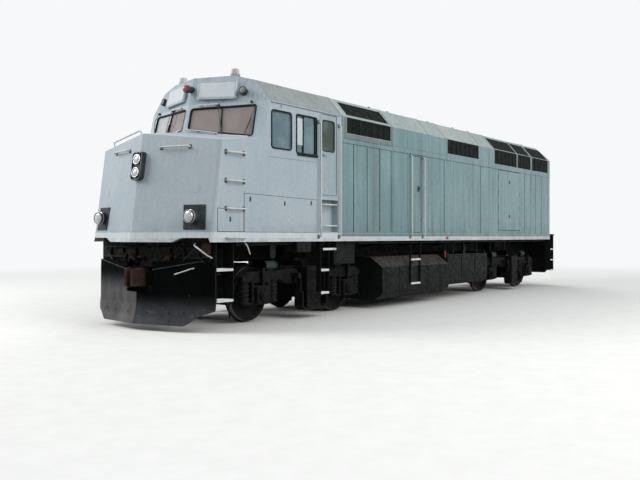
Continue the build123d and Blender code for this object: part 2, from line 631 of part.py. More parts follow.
def stirrup(x0, x1, y0, y1, z0, z1, treads):
    middle = Plane(((x0 + x1) / 2, y0, z1), x_dir=(1, 0, 0), z_dir=(0, -1, 0))
    with BuildSketch(middle) as outline:
        for inset, mode in ((0, Mode.ADD), (BAR_T, Mode.SUBTRACT)):
            with Locations((0, (z0 + inset - z1) / 2)):
                Rectangle(x1 - x0 - 2 * inset, z1 - z0 - inset, mode=mode)
        fillet(outline.vertices().group_by(Axis.Y)[0], STIRRUP_ROUND)
        fillet(outline.vertices().group_by(Axis.Y)[1], STIRRUP_ROUND - BAR_T)
    extrude(outline.sketch, amount=y0 - y1)
    for z in treads:
        block(x0, x1, y0, y1, z - TREAD_T / 2, z + TREAD_T / 2)


with BuildPart() as nose_steps:
    for x0, x1, y0, y1, z0, z1, treads in NOSE_STEPS:
        for side in (1, -1):
            stirrup(x0, x1, side * y0, side * y1, z0, z1, treads)
nose_steps.part.label = "nose_steps"
export_step(nose_steps.part, "parts/nose_steps.step")

with BuildPart() as ladders:
    for x0, x1, y0, y1, z0, z1, treads in LADDERS:
        for side in (1, -1):
            stirrup(x0, x1, side * y0, side * y1, z0, z1, treads)
ladders.part.label = "ladders"
export_step(ladders.part, "parts/ladders.step")

# Side grilles: a screen inside a flush border that is open at the eave. Bevel grilles: flat
# screens set at the bevel
SCREEN_IN = (14, 38)
BORDER = 12
with BuildPart() as grilles:
    for x0, x1, z0 in SIDE_GRILLES:
        for side in (1, -1):
            block(x0, x1, side * (HALF_W - SCREEN_IN[1]), side * HALF_W, z0, EAVE_Z)
            block(x0 + BORDER, x1 - BORDER, side * (HALF_W - SCREEN_IN[0]),
                  side * (HALF_W + WALL), z0 + BORDER, EAVE_Z + BORDER, mode=Mode.SUBTRACT)
grilles.part.label = "grilles"
export_step(grilles.part, "parts/grilles.step")

with BuildPart() as bevel_layer:
    body_section(SCREEN_IN[0], REAR_X + 10, CAB_REAR_X - 10, EAVE_Z)
    body_section(SCREEN_IN[1], REAR_X, CAB_REAR_X, EAVE_Z - WALL, Mode.SUBTRACT)

with BuildPart() as bevel_grilles:
    for x0, x1, rise in BEVEL_GRILLES:
        for side in (1, -1):
            bevel_window(side, x0, x1, rise)
    add(bevel_layer.part, mode=Mode.INTERSECT)
bevel_grilles.part.label = "bevel_grilles"
export_step(bevel_grilles.part, "parts/bevel_grilles.step")

# Roof fans: a turned ring with a floor, hub and guard arms
FAN_LOW = CROWN_Z - WALL
FAN_TOP = CROWN_Z + 70
FAN_FLOOR = 20
FAN_LIP = 35
ARM_W = 24
ARMS = 8
with BuildPart() as roof_fans:
    for x, radius in FANS:
        with BuildSketch(Plane.XZ.offset(0)) as ring:
            with BuildLine():
                Polyline((x, FAN_LOW), (x + radius, FAN_LOW), (x + radius, CROWN_Z),
                         (x + radius + FAN_LIP, CROWN_Z), (x + radius + FAN_LIP, CROWN_Z + 12),
                         (x + radius, CROWN_Z + 24), (x + radius, FAN_TOP),
                         (x + radius - FAN_LIP, FAN_TOP),
                         (x + radius - FAN_LIP, FAN_LOW + FAN_FLOOR),
                         (x + 130, FAN_LOW + FAN_FLOOR), (x + 110, FAN_TOP), (x, FAN_TOP),
                         close=True)
            make_face()
        revolve(ring.sketch, Axis((x, 0, 0), (0, 0, 1)), 360)
        reach = radius - FAN_LIP / 2
        with Locations((x, 0, FAN_TOP - 12)):
            with PolarLocations(reach / 2, ARMS):
                Box(reach, ARM_W, 24)
roof_fans.part.label = "roof_fans"
export_step(roof_fans.part, "parts/roof_fans.step")

# Exhaust: a stepped box with an open slot
STACK = (500, 1300)
with BuildPart() as exhaust_stack:
    along([(-260, CROWN_Z), (-190, CROWN_Z + 60), (190, CROWN_Z + 60), (260, CROWN_Z)],
          *STACK)
    block(STACK[0] + 60, STACK[1] - 60, -130, 130, CROWN_Z + 60, CROWN_Z + 130)
    block(STACK[0] + 100, STACK[1] - 100, -95, 95, CROWN_Z + 40, CROWN_Z + 140,
          mode=Mode.SUBTRACT)
exhaust_stack.part.label = "exhaust_stack"
export_step(exhaust_stack.part, "parts/exhaust_stack.step")

# Roof beacons as (x, y): a turned base with a domed lens
BEACON_X = cab_face_x(740, CROWN_Z) - 94
BEACONS = [(BEACON_X, 740), (BEACON_X, -640)]
BEACON_R = 62
BEACON_H = 150
with BuildPart() as roof_beacons:
    for x, y in BEACONS:
        with BuildSketch(Plane((x, y, CROWN_Z), x_dir=(1, 0, 0), z_dir=(0, -1, 0))) as half:
            with BuildLine():
                Polyline((0, BEACON_H), (0, 0), (90, 0), (90, 45), (BEACON_R, 55),
                         (BEACON_R, BEACON_H - BEACON_R))
                RadiusArc((BEACON_R, BEACON_H - BEACON_R), (0, BEACON_H), -BEACON_R)
            make_face()
        revolve(half.sketch, Axis((x, y, 0), (0, 0, 1)), 360)
roof_beacons.part.label = "roof_beacons"
export_step(roof_beacons.part, "parts/roof_beacons.step")

# Air horn: three flared trumpets on a base, as (y, length)
HORN_X = 5900
HORN_Z = CROWN_Z + 95
TRUMPETS = [(-130, 300), (0, 420), (130, 350)]
with BuildPart() as air_horn:
    block(HORN_X, HORN_X + 120, -190, 190, CROWN_Z, CROWN_Z + 40)
    for y, length in TRUMPETS:
        with BuildSketch(Plane((HORN_X, y, HORN_Z), x_dir=(1, 0, 0), z_dir=(0, -1, 0))) as half:
            with BuildLine():
                Polyline((length, 0), (0, 0), (0, 34), (60, 34), (70, 18))
                ThreePointArc((70, 18), (length * 0.7, 27), (length, 62))
                Line((length, 62), (length, 0))
            make_face()
        revolve(half.sketch, Axis((HORN_X, y, HORN_Z), (1, 0, 0)), 360)
        block(HORN_X + 20, HORN_X + 50, y - 15, y + 15, CROWN_Z + 40, HORN_Z - 20)
air_horn.part.label = "air_horn"
export_step(air_horn.part, "parts/air_horn.step")

# Headlamps: a rounded housing on the nose crease with two lamps, and a pair at the rear
LAMP_Z = RAIL + 2800
LAMP_DZ = 115
LAMP_R = 90
LAMP_FACE_X = 8375
LAMP_TILT = degrees(atan2(NOSE_LEAN, 1))
REAR_LAMP = (110, RAIL + 3760)
with BuildPart() as head_lamps:
    along([(-125, LAMP_Z - 245), (125, LAMP_Z - 245), (125, LAMP_Z + 245),
           (-125, LAMP_Z + 245)], LAMP_FACE_X - 200, LAMP_FACE_X + 50, 50)
    split(bisect_by=Plane((LAMP_FACE_X, 0, LAMP_Z), z_dir=(1, 0, NOSE_LEAN)), keep=Keep.BOTTOM)
    for dz in (LAMP_DZ, -LAMP_DZ):
        rod(LAMP_FACE_X - NOSE_LEAN * dz, 0, LAMP_Z + dz, LAMP_R, 30, (0, 90 - LAMP_TILT, 0))
    add(nose_block.part, mode=Mode.SUBTRACT)
    for side in (1, -1):
        rod(REAR_X - 25, side * REAR_LAMP[0], REAR_LAMP[1], LAMP_R, 50, (0, 90, 0))
head_lamps.part.label = "head_lamps"
export_step(head_lamps.part, "parts/head_lamps.step")

# Ditch lamps: a plate on each nose face with a barrel that points forward
PLATE_T = 12
DITCH_Z = (RAIL + 1697, RAIL + 2112)
DITCH_LAMP = (1180, RAIL + 1915)
DITCH_R = 108
DITCH_L = 190
DITCH_X = 8200
with BuildPart() as ditch_lamps:
    nose_wedge(PLATE_T, HALF_W, SPLIT_X, SILL_TOP, DECK_Z)
    nose_wedge(0, HALF_W, SPLIT_X, SILL_TOP, DECK_Z, Mode.SUBTRACT)
    with BuildSketch(Plane.YZ.offset(SPLIT_X)) as plates:
        with BuildLine():
            Polyline((1005, DITCH_Z[0]), (HALF_W - 138, DITCH_Z[0]),
                     (HALF_W - 178, DITCH_Z[1]), (965, DITCH_Z[1]), close=True)
        make_face()
        mirror(about=Plane.YZ)
    extrude(plates.sketch, amount=COUPLER_X - SPLIT_X, mode=Mode.INTERSECT)
    for side in (1, -1):
        rod(DITCH_X, side * DITCH_LAMP[0], DITCH_LAMP[1], DITCH_R, DITCH_L, (0, 90, 0))
    add(nose_block.part, mode=Mode.SUBTRACT)
ditch_lamps.part.label = "ditch_lamps"
export_step(ditch_lamps.part, "parts/ditch_lamps.step")

# Plain number boards in the roof's front, and the lamps beside them
BOARD_T = 62
BOARD = [(180, EAVE_Z + 90), (915, EAVE_Z + 65), (870, EAVE_Z + 405), (150, EAVE_Z + 420)]
with BuildPart() as board_skin:
    cab_wedge(BOARD_T, HALF_W, CAB_REAR_X, CAB_REF_Z, CROWN_Z)
    cab_wedge(0, HALF_W, CAB_REAR_X, CAB_REF_Z, CROWN_Z, Mode.SUBTRACT)

with BuildPart() as right_board:
    along([(-y, z) for y, z in BOARD], CAB_REAR_X, NOSE_X, 25)
    add(board_skin.part, mode=Mode.INTERSECT)

with BuildPart() as number_boards:
    add(right_board.part)
    mirror(right_board.part, about=Plane.XZ)
number_boards.part.label = "number_boards"
export_step(number_boards.part, "parts/number_boards.step")

# Class lamps as (centre ahead of the face, y, z, radius, length, turn): one at the crease,
# one at each side
CLASS_LAMPS = [(29, 0, EAVE_Z + 290, 62, 260, 0), (-1, 1035, EAVE_Z + 185, 72, 150, 18),
               (-1, -1035, EAVE_Z + 185, 72, 150, -18)]
with BuildPart() as marker_lamps:
    for ahead, y, z, radius, length, turn in CLASS_LAMPS:
        rod(cab_face_x(y, z) + ahead, y, z, radius, length, (0, 90 - abs(turn), turn))
    cab_wedge(0, HALF_W, CAB_REAR_X, CAB_REF_Z - 500, CROWN_Z + 200, Mode.SUBTRACT)
marker_lamps.part.label = "marker_lamps"
export_step(marker_lamps.part, "parts/marker_lamps.step")

# Handrails and grab irons, each a bent bar with its feet square on the panel
RAIL_OUT = 68
RAIL_Y = HALF_W + RAIL_OUT
RAIL_R = 15
RAIL_BEND = 42

# Upright rails as (x, z high), each with its low foot on the sill
UPRIGHTS = [(5215, RAIL + 3800), (4535, RAIL + 3800), (1700, RAIL + 3440), (1110, RAIL + 3440)]
UPRIGHT_FOOT = RAIL + 1575
# Grab irons up the front corner as (x0, x1, z, foot y)
CORNER_GRABS = [(7345, 7790, RAIL + 3000, HALF_W), (7345, 7790, RAIL + 2520, HALF_W),
                (7345, 7790, RAIL + 2050, HALF_W),
                (7345, 7790, RAIL + 1556, HALF_W + SILL_OUT)]
FACE_GRAB = (410, 960, RAIL + 3100)
TOP_RAIL = ((8150, -140), (7930, -1150))
END_RAILS = (420, RAIL + 1760, RAIL + 3300)


def nose_point(y, z, out):
    """A point off the nose face, measured square to it."""
    side = 1 if y > 0 else -1
    normal = Vector(1, side * NOSE_SLOPE, NOSE_LEAN).normalized()
    x = NOSE_X - NOSE_SLOPE * abs(y) - NOSE_LEAN * (z - NOSE_REF_Z)
    return Vector(x, y, z) + normal * out


def deck_point(x, y, out):
    """A point off the sloped nose deck, measured square to it."""
    side = 1 if y > 0 else -1
    normal = Vector(DECK_RISE, side * DECK_FALL, 1).normalized()
    z = DECK_Z - DECK_RISE * (x - DECK_X) - DECK_FALL * abs(y)
    return Vector(x, y, z) + normal * out


with BuildPart() as handrails:
    for side in (1, -1):
        for x, top in UPRIGHTS:
            pipe([(x, side * (HALF_W + SILL_OUT), UPRIGHT_FOOT), (x, side * RAIL_Y, UPRIGHT_FOOT),
                  (x, side * RAIL_Y, top), (x, side * HALF_W, top)], RAIL_R, RAIL_BEND)
        for x0, x1, z, foot in CORNER_GRABS:
            pipe([(x0, side * foot, z), (x0, side * RAIL_Y, z), (x1, side * RAIL_Y, z),
                  (x1, side * foot, z)], RAIL_R, RAIL_BEND)
        y0, y1, z = FACE_GRAB
        pipe([nose_point(side * y0, z, 0), nose_point(side * y0, z, RAIL_OUT),
              nose_point(side * y1, z, RAIL_OUT), nose_point(side * y1, z, 0)],
             RAIL_R, RAIL_BEND)
        y, z0, z1 = END_RAILS
        pipe([(REAR_X, side * y, z0), (REAR_X - RAIL_OUT, side * y, z0),
              (REAR_X - RAIL_OUT, side * y, z1), (REAR_X, side * y, z1)], RAIL_R, RAIL_BEND)
    pipe([deck_point(*TOP_RAIL[0], 0), deck_point(*TOP_RAIL[0], 1.3 * RAIL_OUT),
          deck_point(*TOP_RAIL[1], 1.3 * RAIL_OUT), deck_point(*TOP_RAIL[1], 0)],
         RAIL_R, RAIL_BEND)
handrails.part.label = "handrails"
export_step(handrails.part, "parts/handrails.step")

# Hinges: the axis lies inside the wall, so a leaf swings inward clear of its opening
HINGE_Y = HALF_W - WALL - HINGE_R
HINGE_UP = 280
CAB_HINGE_X = CAB_DOOR[0] + DOOR_GAP
ENGINE_HINGE_X = ENGINE_DOOR[1] - DOOR_GAP
END_HINGE_X = REAR_X + WALL + HINGE_R
END_HINGE_Y = END_DOOR[0] + DOOR_GAP
CAB_HINGE_Z = (CAB_DOOR_Z[0] + HINGE_UP, CAB_DOOR_Z[1] - HINGE_UP)
ENGINE_HINGE_Z = (ENGINE_DOOR_Z[0] + HINGE_UP, ENGINE_DOOR_Z[1] - HINGE_UP)
END_HINGE_Z = (END_DOOR_Z[0] + HINGE_UP, END_DOOR_Z[1] - HINGE_UP)
LUG_T = 12
LUG_REACH = 66
STRAP_W = 30


def side_hinge(x, z, side, back):
    """Pin and lugs on a side wall. back is 1 where the frame lies ahead of the leaf."""
    y = side * HINGE_Y
    rod(x, y, z, HINGE_PIN_R, HINGE_H + 2 * (LUG_T + RUN_GAP))
    for end in (1, -1):
        low = z + end * (HINGE_H / 2 + RUN_GAP)
        block(x - back * HINGE_PIN_R, x + back * LUG_REACH, y - side * HINGE_PIN_R,
              side * (HALF_W - WALL), low, low + end * LUG_T)


def end_hinge(z):
    """Pin and lugs on the end wall."""
    rod(END_HINGE_X, END_HINGE_Y, z, HINGE_PIN_R, HINGE_H + 2 * (LUG_T + RUN_GAP))
    for end in (1, -1):
        low = z + end * (HINGE_H / 2 + RUN_GAP)
        block(REAR_X + WALL, END_HINGE_X + HINGE_PIN_R, END_HINGE_Y - LUG_REACH,
              END_HINGE_Y + HINGE_PIN_R, low, low + end * LUG_T)


def barrel(x, y, z):
    """The leaf's barrel, bored for the pin."""
    rod(x, y, z, HINGE_R, HINGE_H)
    rod(x, y, z, HINGE_PIN_R + RUN_GAP, HINGE_H, mode=Mode.SUBTRACT)


def side_knuckle(x, z, side, back):
    """The strap that joins the barrel to a side leaf."""
    y = side * HINGE_Y
    block(x - back * STRAP_W, x, y, side * DOOR_IN, z - HINGE_H / 2, z + HINGE_H / 2)
    barrel(x, y, z)


with BuildPart() as door_hinges:
    for side in (1, -1):
        for z in CAB_HINGE_Z:
            side_hinge(CAB_HINGE_X, z, side, -1)
        for z in ENGINE_HINGE_Z:
            side_hinge(ENGINE_HINGE_X, z, side, 1)
    for z in END_HINGE_Z:
        end_hinge(z)
door_hinges.part.label = "door_hinges"
export_step(door_hinges.part, "parts/door_hinges.step")

# Doors: leaf, lever handle and, for the cab doors, a pane
PANE_X = (4680, 5060)
PANE_Z = (RAIL + 3265, RAIL + 3850)
PANE_IN = 20
LEAF_ROUND = DOOR_ROUND - DOOR_GAP
HANDLE_OUT = 40
SPINDLE_R = 14
LEVER_HALF = 12
LEVER_T = 10
LEVER_L = 110
CAB_HANDLE = (5060, RAIL + 3180)
ENGINE_HANDLE = (1240, RAIL + 2670)
END_HANDLE = (260, RAIL + 2600)


def handle(x, z, side, reach):
    """A round spindle on a side leaf with a flat lever, pointing along X by reach."""
    inner = side * (DOOR_IN + DOOR_T - 4)
    outer = side * (HALF_W + HANDLE_OUT)
    rod(x, (inner + outer) / 2, z, SPINDLE_R, abs(outer - inner), (90, 0, 0))
    ends = sorted((x + reach, x - LEVER_HALF * reach / abs(reach)))
    side_pane(*ends, z - LEVER_HALF, z + LEVER_HALF, outer, outer - side * LEVER_T, 8)


for side, word in ((1, "left"), (-1, "right")):
    with BuildPart() as cab_door:
        side_pane(CAB_DOOR[0] + DOOR_GAP, CAB_DOOR[1] - DOOR_GAP, CAB_DOOR_Z[0] + DOOR_GAP,
                  CAB_DOOR_Z[1] - DOOR_GAP, side * DOOR_IN, side * (DOOR_IN + DOOR_T),
                  LEAF_ROUND)
        side_pane(*PANE_X, *PANE_Z, side * (DOOR_IN - WALL), side * (HALF_W + WALL),
                  WINDOW_ROUND, Mode.SUBTRACT)
        handle(*CAB_HANDLE, side, -LEVER_L)
        for z in CAB_HINGE_Z:
            side_knuckle(CAB_HINGE_X, z, side, -1)
    cab_door.part.label = f"cab_door_{word}"
    export_step(cab_door.part, f"parts/cab_door_{word}.step")

    with BuildPart() as door_pane:
        side_pane(*PANE_X, *PANE_Z, side * (HALF_W - PANE_IN - GLASS_T),
                  side * (HALF_W - PANE_IN), WINDOW_ROUND)
    door_pane.part.label = f"door_pane_{word}"
    export_step(door_pane.part, f"parts/door_pane_{word}.step")

    with BuildPart() as engine_door:
        side_pane(ENGINE_DOOR[0] + DOOR_GAP, ENGINE_DOOR[1] - DOOR_GAP,
                  ENGINE_DOOR_Z[0] + DOOR_GAP, ENGINE_DOOR_Z[1] - DOOR_GAP, side * DOOR_IN,
                  side * (DOOR_IN + DOOR_T), LEAF_ROUND)
        handle(*ENGINE_HANDLE, side, LEVER_L)
        for z in ENGINE_HINGE_Z:
            side_knuckle(ENGINE_HINGE_X, z, side, 1)
    engine_door.part.label = f"engine_door_{word}"
    export_step(engine_door.part, f"parts/engine_door_{word}.step")

with BuildPart() as end_door:
    block(REAR_X + END_DOOR_IN, REAR_X + END_DOOR_IN + DOOR_T, END_DOOR[0] + DOOR_GAP,
          END_DOOR[1] - DOOR_GAP, END_DOOR_Z[0] + DOOR_GAP, END_DOOR_Z[1] - DOOR_GAP)
    rod(REAR_X + (END_DOOR_IN - HANDLE_OUT) / 2, END_HANDLE[0], END_HANDLE[1], SPINDLE_R,
        HANDLE_OUT + END_DOOR_IN, (0, 90, 0))
    block(REAR_X - HANDLE_OUT, REAR_X - HANDLE_OUT + LEVER_T, END_HANDLE[0] - LEVER_L,
          END_HANDLE[0] + LEVER_HALF, END_HANDLE[1] - LEVER_HALF, END_HANDLE[1] + LEVER_HALF)
    for z in END_HINGE_Z:
        block(REAR_X + END_DOOR_IN + DOOR_T, END_HINGE_X, END_HINGE_Y,
              END_HINGE_Y + STRAP_W, z - HINGE_H / 2, z + HINGE_H / 2)
        barrel(END_HINGE_X, END_HINGE_Y, z)
end_door.part.label = "end_door"
export_step(end_door.part, "parts/end_door.step")

# Couplers: eye on a pin, tapered shank and knuckle head, the rear one turned round.
# Plan view of the head as (back from the pulling face, y)
HEAD = [(360, -90), (230, -150), (60, -150), (0, -110), (15, -60), (120, -40), (130, 30),
        (90, 60), (0, 40), (0, 110), (80, 160), (230, 150), (360, 90)]
HEAD_H = 290
SHANK_HALF = 65
EYE_R = 95
for turn, word in ((0, "front"), (180, "rear")):
    with BuildPart() as coupler:
        rod(PIVOT_X, 0, COUPLER_Z, EYE_R, 2 * SHANK_HALF)
        block(PIVOT_X, COUPLER_X - 300, -SHANK_HALF, SHANK_HALF, COUPLER_Z - SHANK_HALF,
              COUPLER_Z + SHANK_HALF)
        with BuildSketch(Plane.XY.offset(COUPLER_Z - HEAD_H / 2)) as head:
            with BuildLine():
                Polyline(*[(COUPLER_X - back, y) for back, y in HEAD], close=True)
            make_face()
            fillet(head.vertices(), 14)
        extrude(head.sketch, amount=HEAD_H)
        across([(COUPLER_X - 480, COUPLER_Z - SHANK_HALF),
                (COUPLER_X - 340, COUPLER_Z - HEAD_H / 2),
                (COUPLER_X - 340, COUPLER_Z + HEAD_H / 2),
                (COUPLER_X - 480, COUPLER_Z + SHANK_HALF)], 85, -85)
        rod(PIVOT_X, 0, COUPLER_Z, PIN_R + RUN_GAP, 4 * SHANK_HALF, mode=Mode.SUBTRACT)
    turned = coupler.part.rotate(Axis.Z, turn)
    turned.label = f"coupler_{word}"
    export_step(turned, f"parts/coupler_{word}.step")

with BuildPart() as coupler_pins:
    for x in (PIVOT_X, -PIVOT_X):
        rod(x, 0, (POCKET_LOW + POCKET_TOP) / 2, PIN_R, POCKET_TOP - POCKET_LOW)
coupler_pins.part.label = "coupler_pins"
export_step(coupler_pins.part, "parts/coupler_pins.step")

# Trucks. Half of a side frame's outline as (x from the truck centre, z from the axle):
# dip under the bolster, arched top, upturned end, two pedestal legs and the lower edge
BOX_HALF = 185
BOX_H = 165
LEG_GAP = 6
LEG_T = 70
CHORD_LOW = AXLE_Z + 257
CHORD_TOP = AXLE_Z + 427
WING_TOP = AXLE_Z - 138
WING_H = 50
LEG_LOW = WING_TOP + 5
SPRING_R = 88
SPRING_GAP = 51
SPRING_DX = BOX_HALF + LEG_GAP + LEG_T + SPRING_GAP + SPRING_R
SPRING_Y = 1040
DIP_X = 250
INNER_LEG = AXLE_X - BOX_HALF - LEG_GAP
OUTER_LEG = AXLE_X + BOX_HALF + LEG_GAP
FRAME_END = AXLE_X + SPRING_DX + SPRING_R + 20
SIDE_FRAME = [(DIP_X, CHORD_TOP - 60), (DIP_X + 90, CHORD_TOP + 30),
              (DIP_X + 330, CHORD_TOP + 30), (DIP_X + 480, CHORD_TOP),
              (FRAME_END - 170, CHORD_TOP), (FRAME_END, CHORD_TOP - 90),
              (FRAME_END, CHORD_LOW), (OUTER_LEG + LEG_T, CHORD_LOW),
              (OUTER_LEG + LEG_T, LEG_LOW), (OUTER_LEG, LEG_LOW), (OUTER_LEG, CHORD_LOW - 40),
              (INNER_LEG, CHORD_LOW - 40), (INNER_LEG, LEG_LOW), (INNER_LEG - LEG_T, LEG_LOW),
              (INNER_LEG - LEG_T, CHORD_LOW), (DIP_X + 530, CHORD_LOW),
              (DIP_X + 360, CHORD_LOW - 90)]
FRAME_ROUND = 24
TRANSOM = (330, 560)
TRANSOM_Z = (AXLE_Z + 167, AXLE_Z + 397)

# Spring buckets hung outside the frame: half length, depth and the pads in them
BUCKET_X = 400
BUCKET_Y = (FRAME_Y1 + 10, FRAME_Y1 + 210)
BUCKET_Z = (AXLE_Z - 348, AXLE_Z + 12)
BUCKET_T = 32
PADS = 5
PAD_X = 220
PAD_LOW = BUCKET_Z[0] + BUCKET_T
PAD_TOP = AXLE_Z + 87
PAD_STEP = (PAD_TOP - PAD_LOW) / PADS
HANGER_TOP = AXLE_Z + 320
BRACKET_X = (BUCKET_X + 10, BUCKET_X + 80)
BRACKET_H = 50
BOLSTER_X = 220
BOLSTER_TOP = AXLE_Z + 487
BOLSTER_ARM = AXLE_Z + 387
CENTRE_PLATE_R = 330

# Brakes, motors and gear cases
SHOE_GAP = 14
SHOE = (AXLE_X - 620, AXLE_X - 490)
SHOE_Y = (WHEEL_IN + 45, WHEEL_IN + 125)
CYLINDER_X = 1080
CYLINDER_R = 80
MOTOR_Y = (-480, 420)
MOTOR_R = 260
GEAR_R = 320
GEAR_Y = (470, 590)
AXLE_ROOM = 15

for tx, word in ((TRUCK_X, "front"), (-TRUCK_X, "rear")):
    with BuildPart() as truck_frame:
        outline = [(tx + x, z) for x, z in SIDE_FRAME]
        outline += [(tx - x, z) for x, z in reversed(SIDE_FRAME)]
        for side in (1, -1):
            across(outline, side * FRAME_Y0, side * FRAME_Y1, FRAME_ROUND)
            for end in (1, -1):
                x0, x1 = (tx + end * x for x in BRACKET_X)
                block(x0, x1, side * FRAME_Y1, side * (BUCKET_Y[1] - 40),
                      HANGER_TOP - BRACKET_H, HANGER_TOP + BRACKET_H)
        for end in (1, -1):
            across([(tx + end * TRANSOM[0], TRANSOM_Z[0]), (tx + end * TRANSOM[1], TRANSOM_Z[0]),
                    (tx + end * TRANSOM[1], TRANSOM_Z[1]),
                    (tx + end * TRANSOM[0], TRANSOM_Z[1])], FRAME_Y0, -FRAME_Y0, 20)
    truck_frame.part.label = f"{word}_truck_frame"
    export_step(truck_frame.part, f"parts/{word}_truck_frame.step")

    with BuildPart() as axle_boxes:
        for side in (1, -1):
            for end in (1, -1):
                x = tx + end * AXLE_X
                across([(x - BOX_HALF, AXLE_Z - BOX_H), (x + BOX_HALF, AXLE_Z - BOX_H),
                        (x + BOX_HALF, AXLE_Z + BOX_H), (x - BOX_HALF, AXLE_Z + BOX_H)],
                       side * (FRAME_Y0 + 25), side * (FRAME_Y1 + 70), 40)
                wing = SPRING_DX + SPRING_R
                across([(x - wing, WING_TOP), (x - wing, WING_TOP - WING_H / 2),
                        (x - BOX_HALF, WING_TOP - WING_H), (x + BOX_HALF, WING_TOP - WING_H),
                        (x + wing, WING_TOP - WING_H / 2), (x + wing, WING_TOP)],
                       side * (FRAME_Y0 + 30), side * (FRAME_Y1 - 10))
                rod(x, side * (FRAME_Y1 + 90), AXLE_Z, 120, 40, (90, 0, 0))
                rod(x, side * (FRAME_Y1 + 118), AXLE_Z, 70, 16, (90, 0, 0))
                rod(x, side * (FRAME_Y0 + 110), AXLE_Z, JOURNAL_R + RUN_GAP, 200, (90, 0, 0),
                    mode=Mode.SUBTRACT)
                for dx in (-SPRING_DX, SPRING_DX):
                    rod(x + dx, side * SPRING_Y, (WING_TOP + CHORD_LOW) / 2, SPRING_R,
                        CHORD_LOW - WING_TOP)
    axle_boxes.part.label = f"{word}_axle_boxes"
    export_step(axle_boxes.part, f"parts/{word}_axle_boxes.step")

    with BuildPart() as bolster:
        shoe = (BUCKET_Y[0] + 25, BUCKET_Y[1] - 30)
        half = [(shoe[1], BOLSTER_TOP), (shoe[1], PAD_TOP), (shoe[0], PAD_TOP),
                (shoe[0], BOLSTER_ARM), (FRAME_Y0 - 30, BOLSTER_ARM),
                (FRAME_Y0 - 160, BOLSTER_TOP - 300), (0, BOLSTER_TOP - 320)]
        along(half + [(-y, z) for y, z in reversed(half[:-1])], tx - BOLSTER_X, tx + BOLSTER_X)
        rod(tx, 0, (BOLSTER_TOP + PLATE_Z - RUN_GAP) / 2, CENTRE_PLATE_R,
            PLATE_Z - RUN_GAP - BOLSTER_TOP)
        for side in (1, -1):
            bucket = [(BUCKET_X, BUCKET_Z[1]), (BUCKET_X, BUCKET_Z[0] + 80),
                      (BUCKET_X - 70, BUCKET_Z[0])]
            across([(tx + x, z) for x, z in bucket] + [(tx - x, z) for x, z in bucket[::-1]],
                   side * BUCKET_Y[0], side * BUCKET_Y[1], 15)
            hollow = [(BUCKET_X - BUCKET_T, BUCKET_Z[1] + 10),
                      (BUCKET_X - BUCKET_T, BUCKET_Z[0] + 85),
                      (BUCKET_X - 85, BUCKET_Z[0] + BUCKET_T)]
            across([(tx + x, z) for x, z in hollow] + [(tx - x, z) for x, z in hollow[::-1]],
                   side * shoe[0], side * (BUCKET_Y[1] + 10), mode=Mode.SUBTRACT)
            block(tx - PAD_X + 25, tx + PAD_X - 25, side * shoe[0], side * (shoe[1] - 15),
                  PAD_LOW, PAD_TOP)
            for n in range(PADS):
                low = PAD_LOW + n * PAD_STEP
                block(tx - PAD_X, tx + PAD_X, side * shoe[0], side * shoe[1], low,
                      low + PAD_STEP * 0.75)
            for end in (1, -1):
                block(tx + end * (BUCKET_X - BUCKET_T), tx + end * BUCKET_X,
                      side * (BUCKET_Y[0] + 50), side * (BUCKET_Y[1] - 50), BUCKET_Z[1],
                      HANGER_TOP)
                rod(tx + end * (BUCKET_X - BUCKET_T / 2), side * sum(BUCKET_Y) / 2, HANGER_TOP,
                    50, BUCKET_T, (0, 90, 0))
                rod(tx + end * (BUCKET_X + 5), side * sum(BUCKET_Y) / 2, HANGER_TOP, 26, 10,
                    (0, 90, 0))
    bolster.part.label = f"{word}_bolster"
    export_step(bolster.part, f"parts/{word}_bolster.step")

    with BuildPart() as brakes:
        for side in (1, -1):
            for end in (1, -1):
                x0, x1 = (tx + end * x for x in SHOE)
                y0, y1 = (side * y for y in SHOE_Y)
                block(x0, x1, y0, y1, AXLE_Z - 103, AXLE_Z + 107)
                block(x0, x0 + end * 60, y0, y1, AXLE_Z + 67, AXLE_Z + 397)
                block(x0, x0 + end * 60, y0, side * FRAME_Y0, AXLE_Z + 317, AXLE_Z + 397)
                rod(tx + end * AXLE_X, side * (SHOE_Y[0] + SHOE_Y[1]) / 2, AXLE_Z,
                    WHEEL_R + SHOE_GAP, 120, (90, 0, 0), mode=Mode.SUBTRACT)
                block(tx + end * (CYLINDER_X - 80), tx + end * (CYLINDER_X + 80),
                      side * (SPRING_Y - 60), side * (SPRING_Y + 60), CHORD_TOP, CHORD_TOP + 60)
                rod(tx + end * CYLINDER_X, side * SPRING_Y, CHORD_TOP + 105, CYLINDER_R, 300,
                    (0, 90, 0))
                rod(tx + end * (CYLINDER_X - 180), side * SPRING_Y, CHORD_TOP + 105, 30, 80,
                    (0, 90, 0))
    brakes.part.label = f"{word}_brakes"
    export_step(brakes.part, f"parts/{word}_brakes.step")

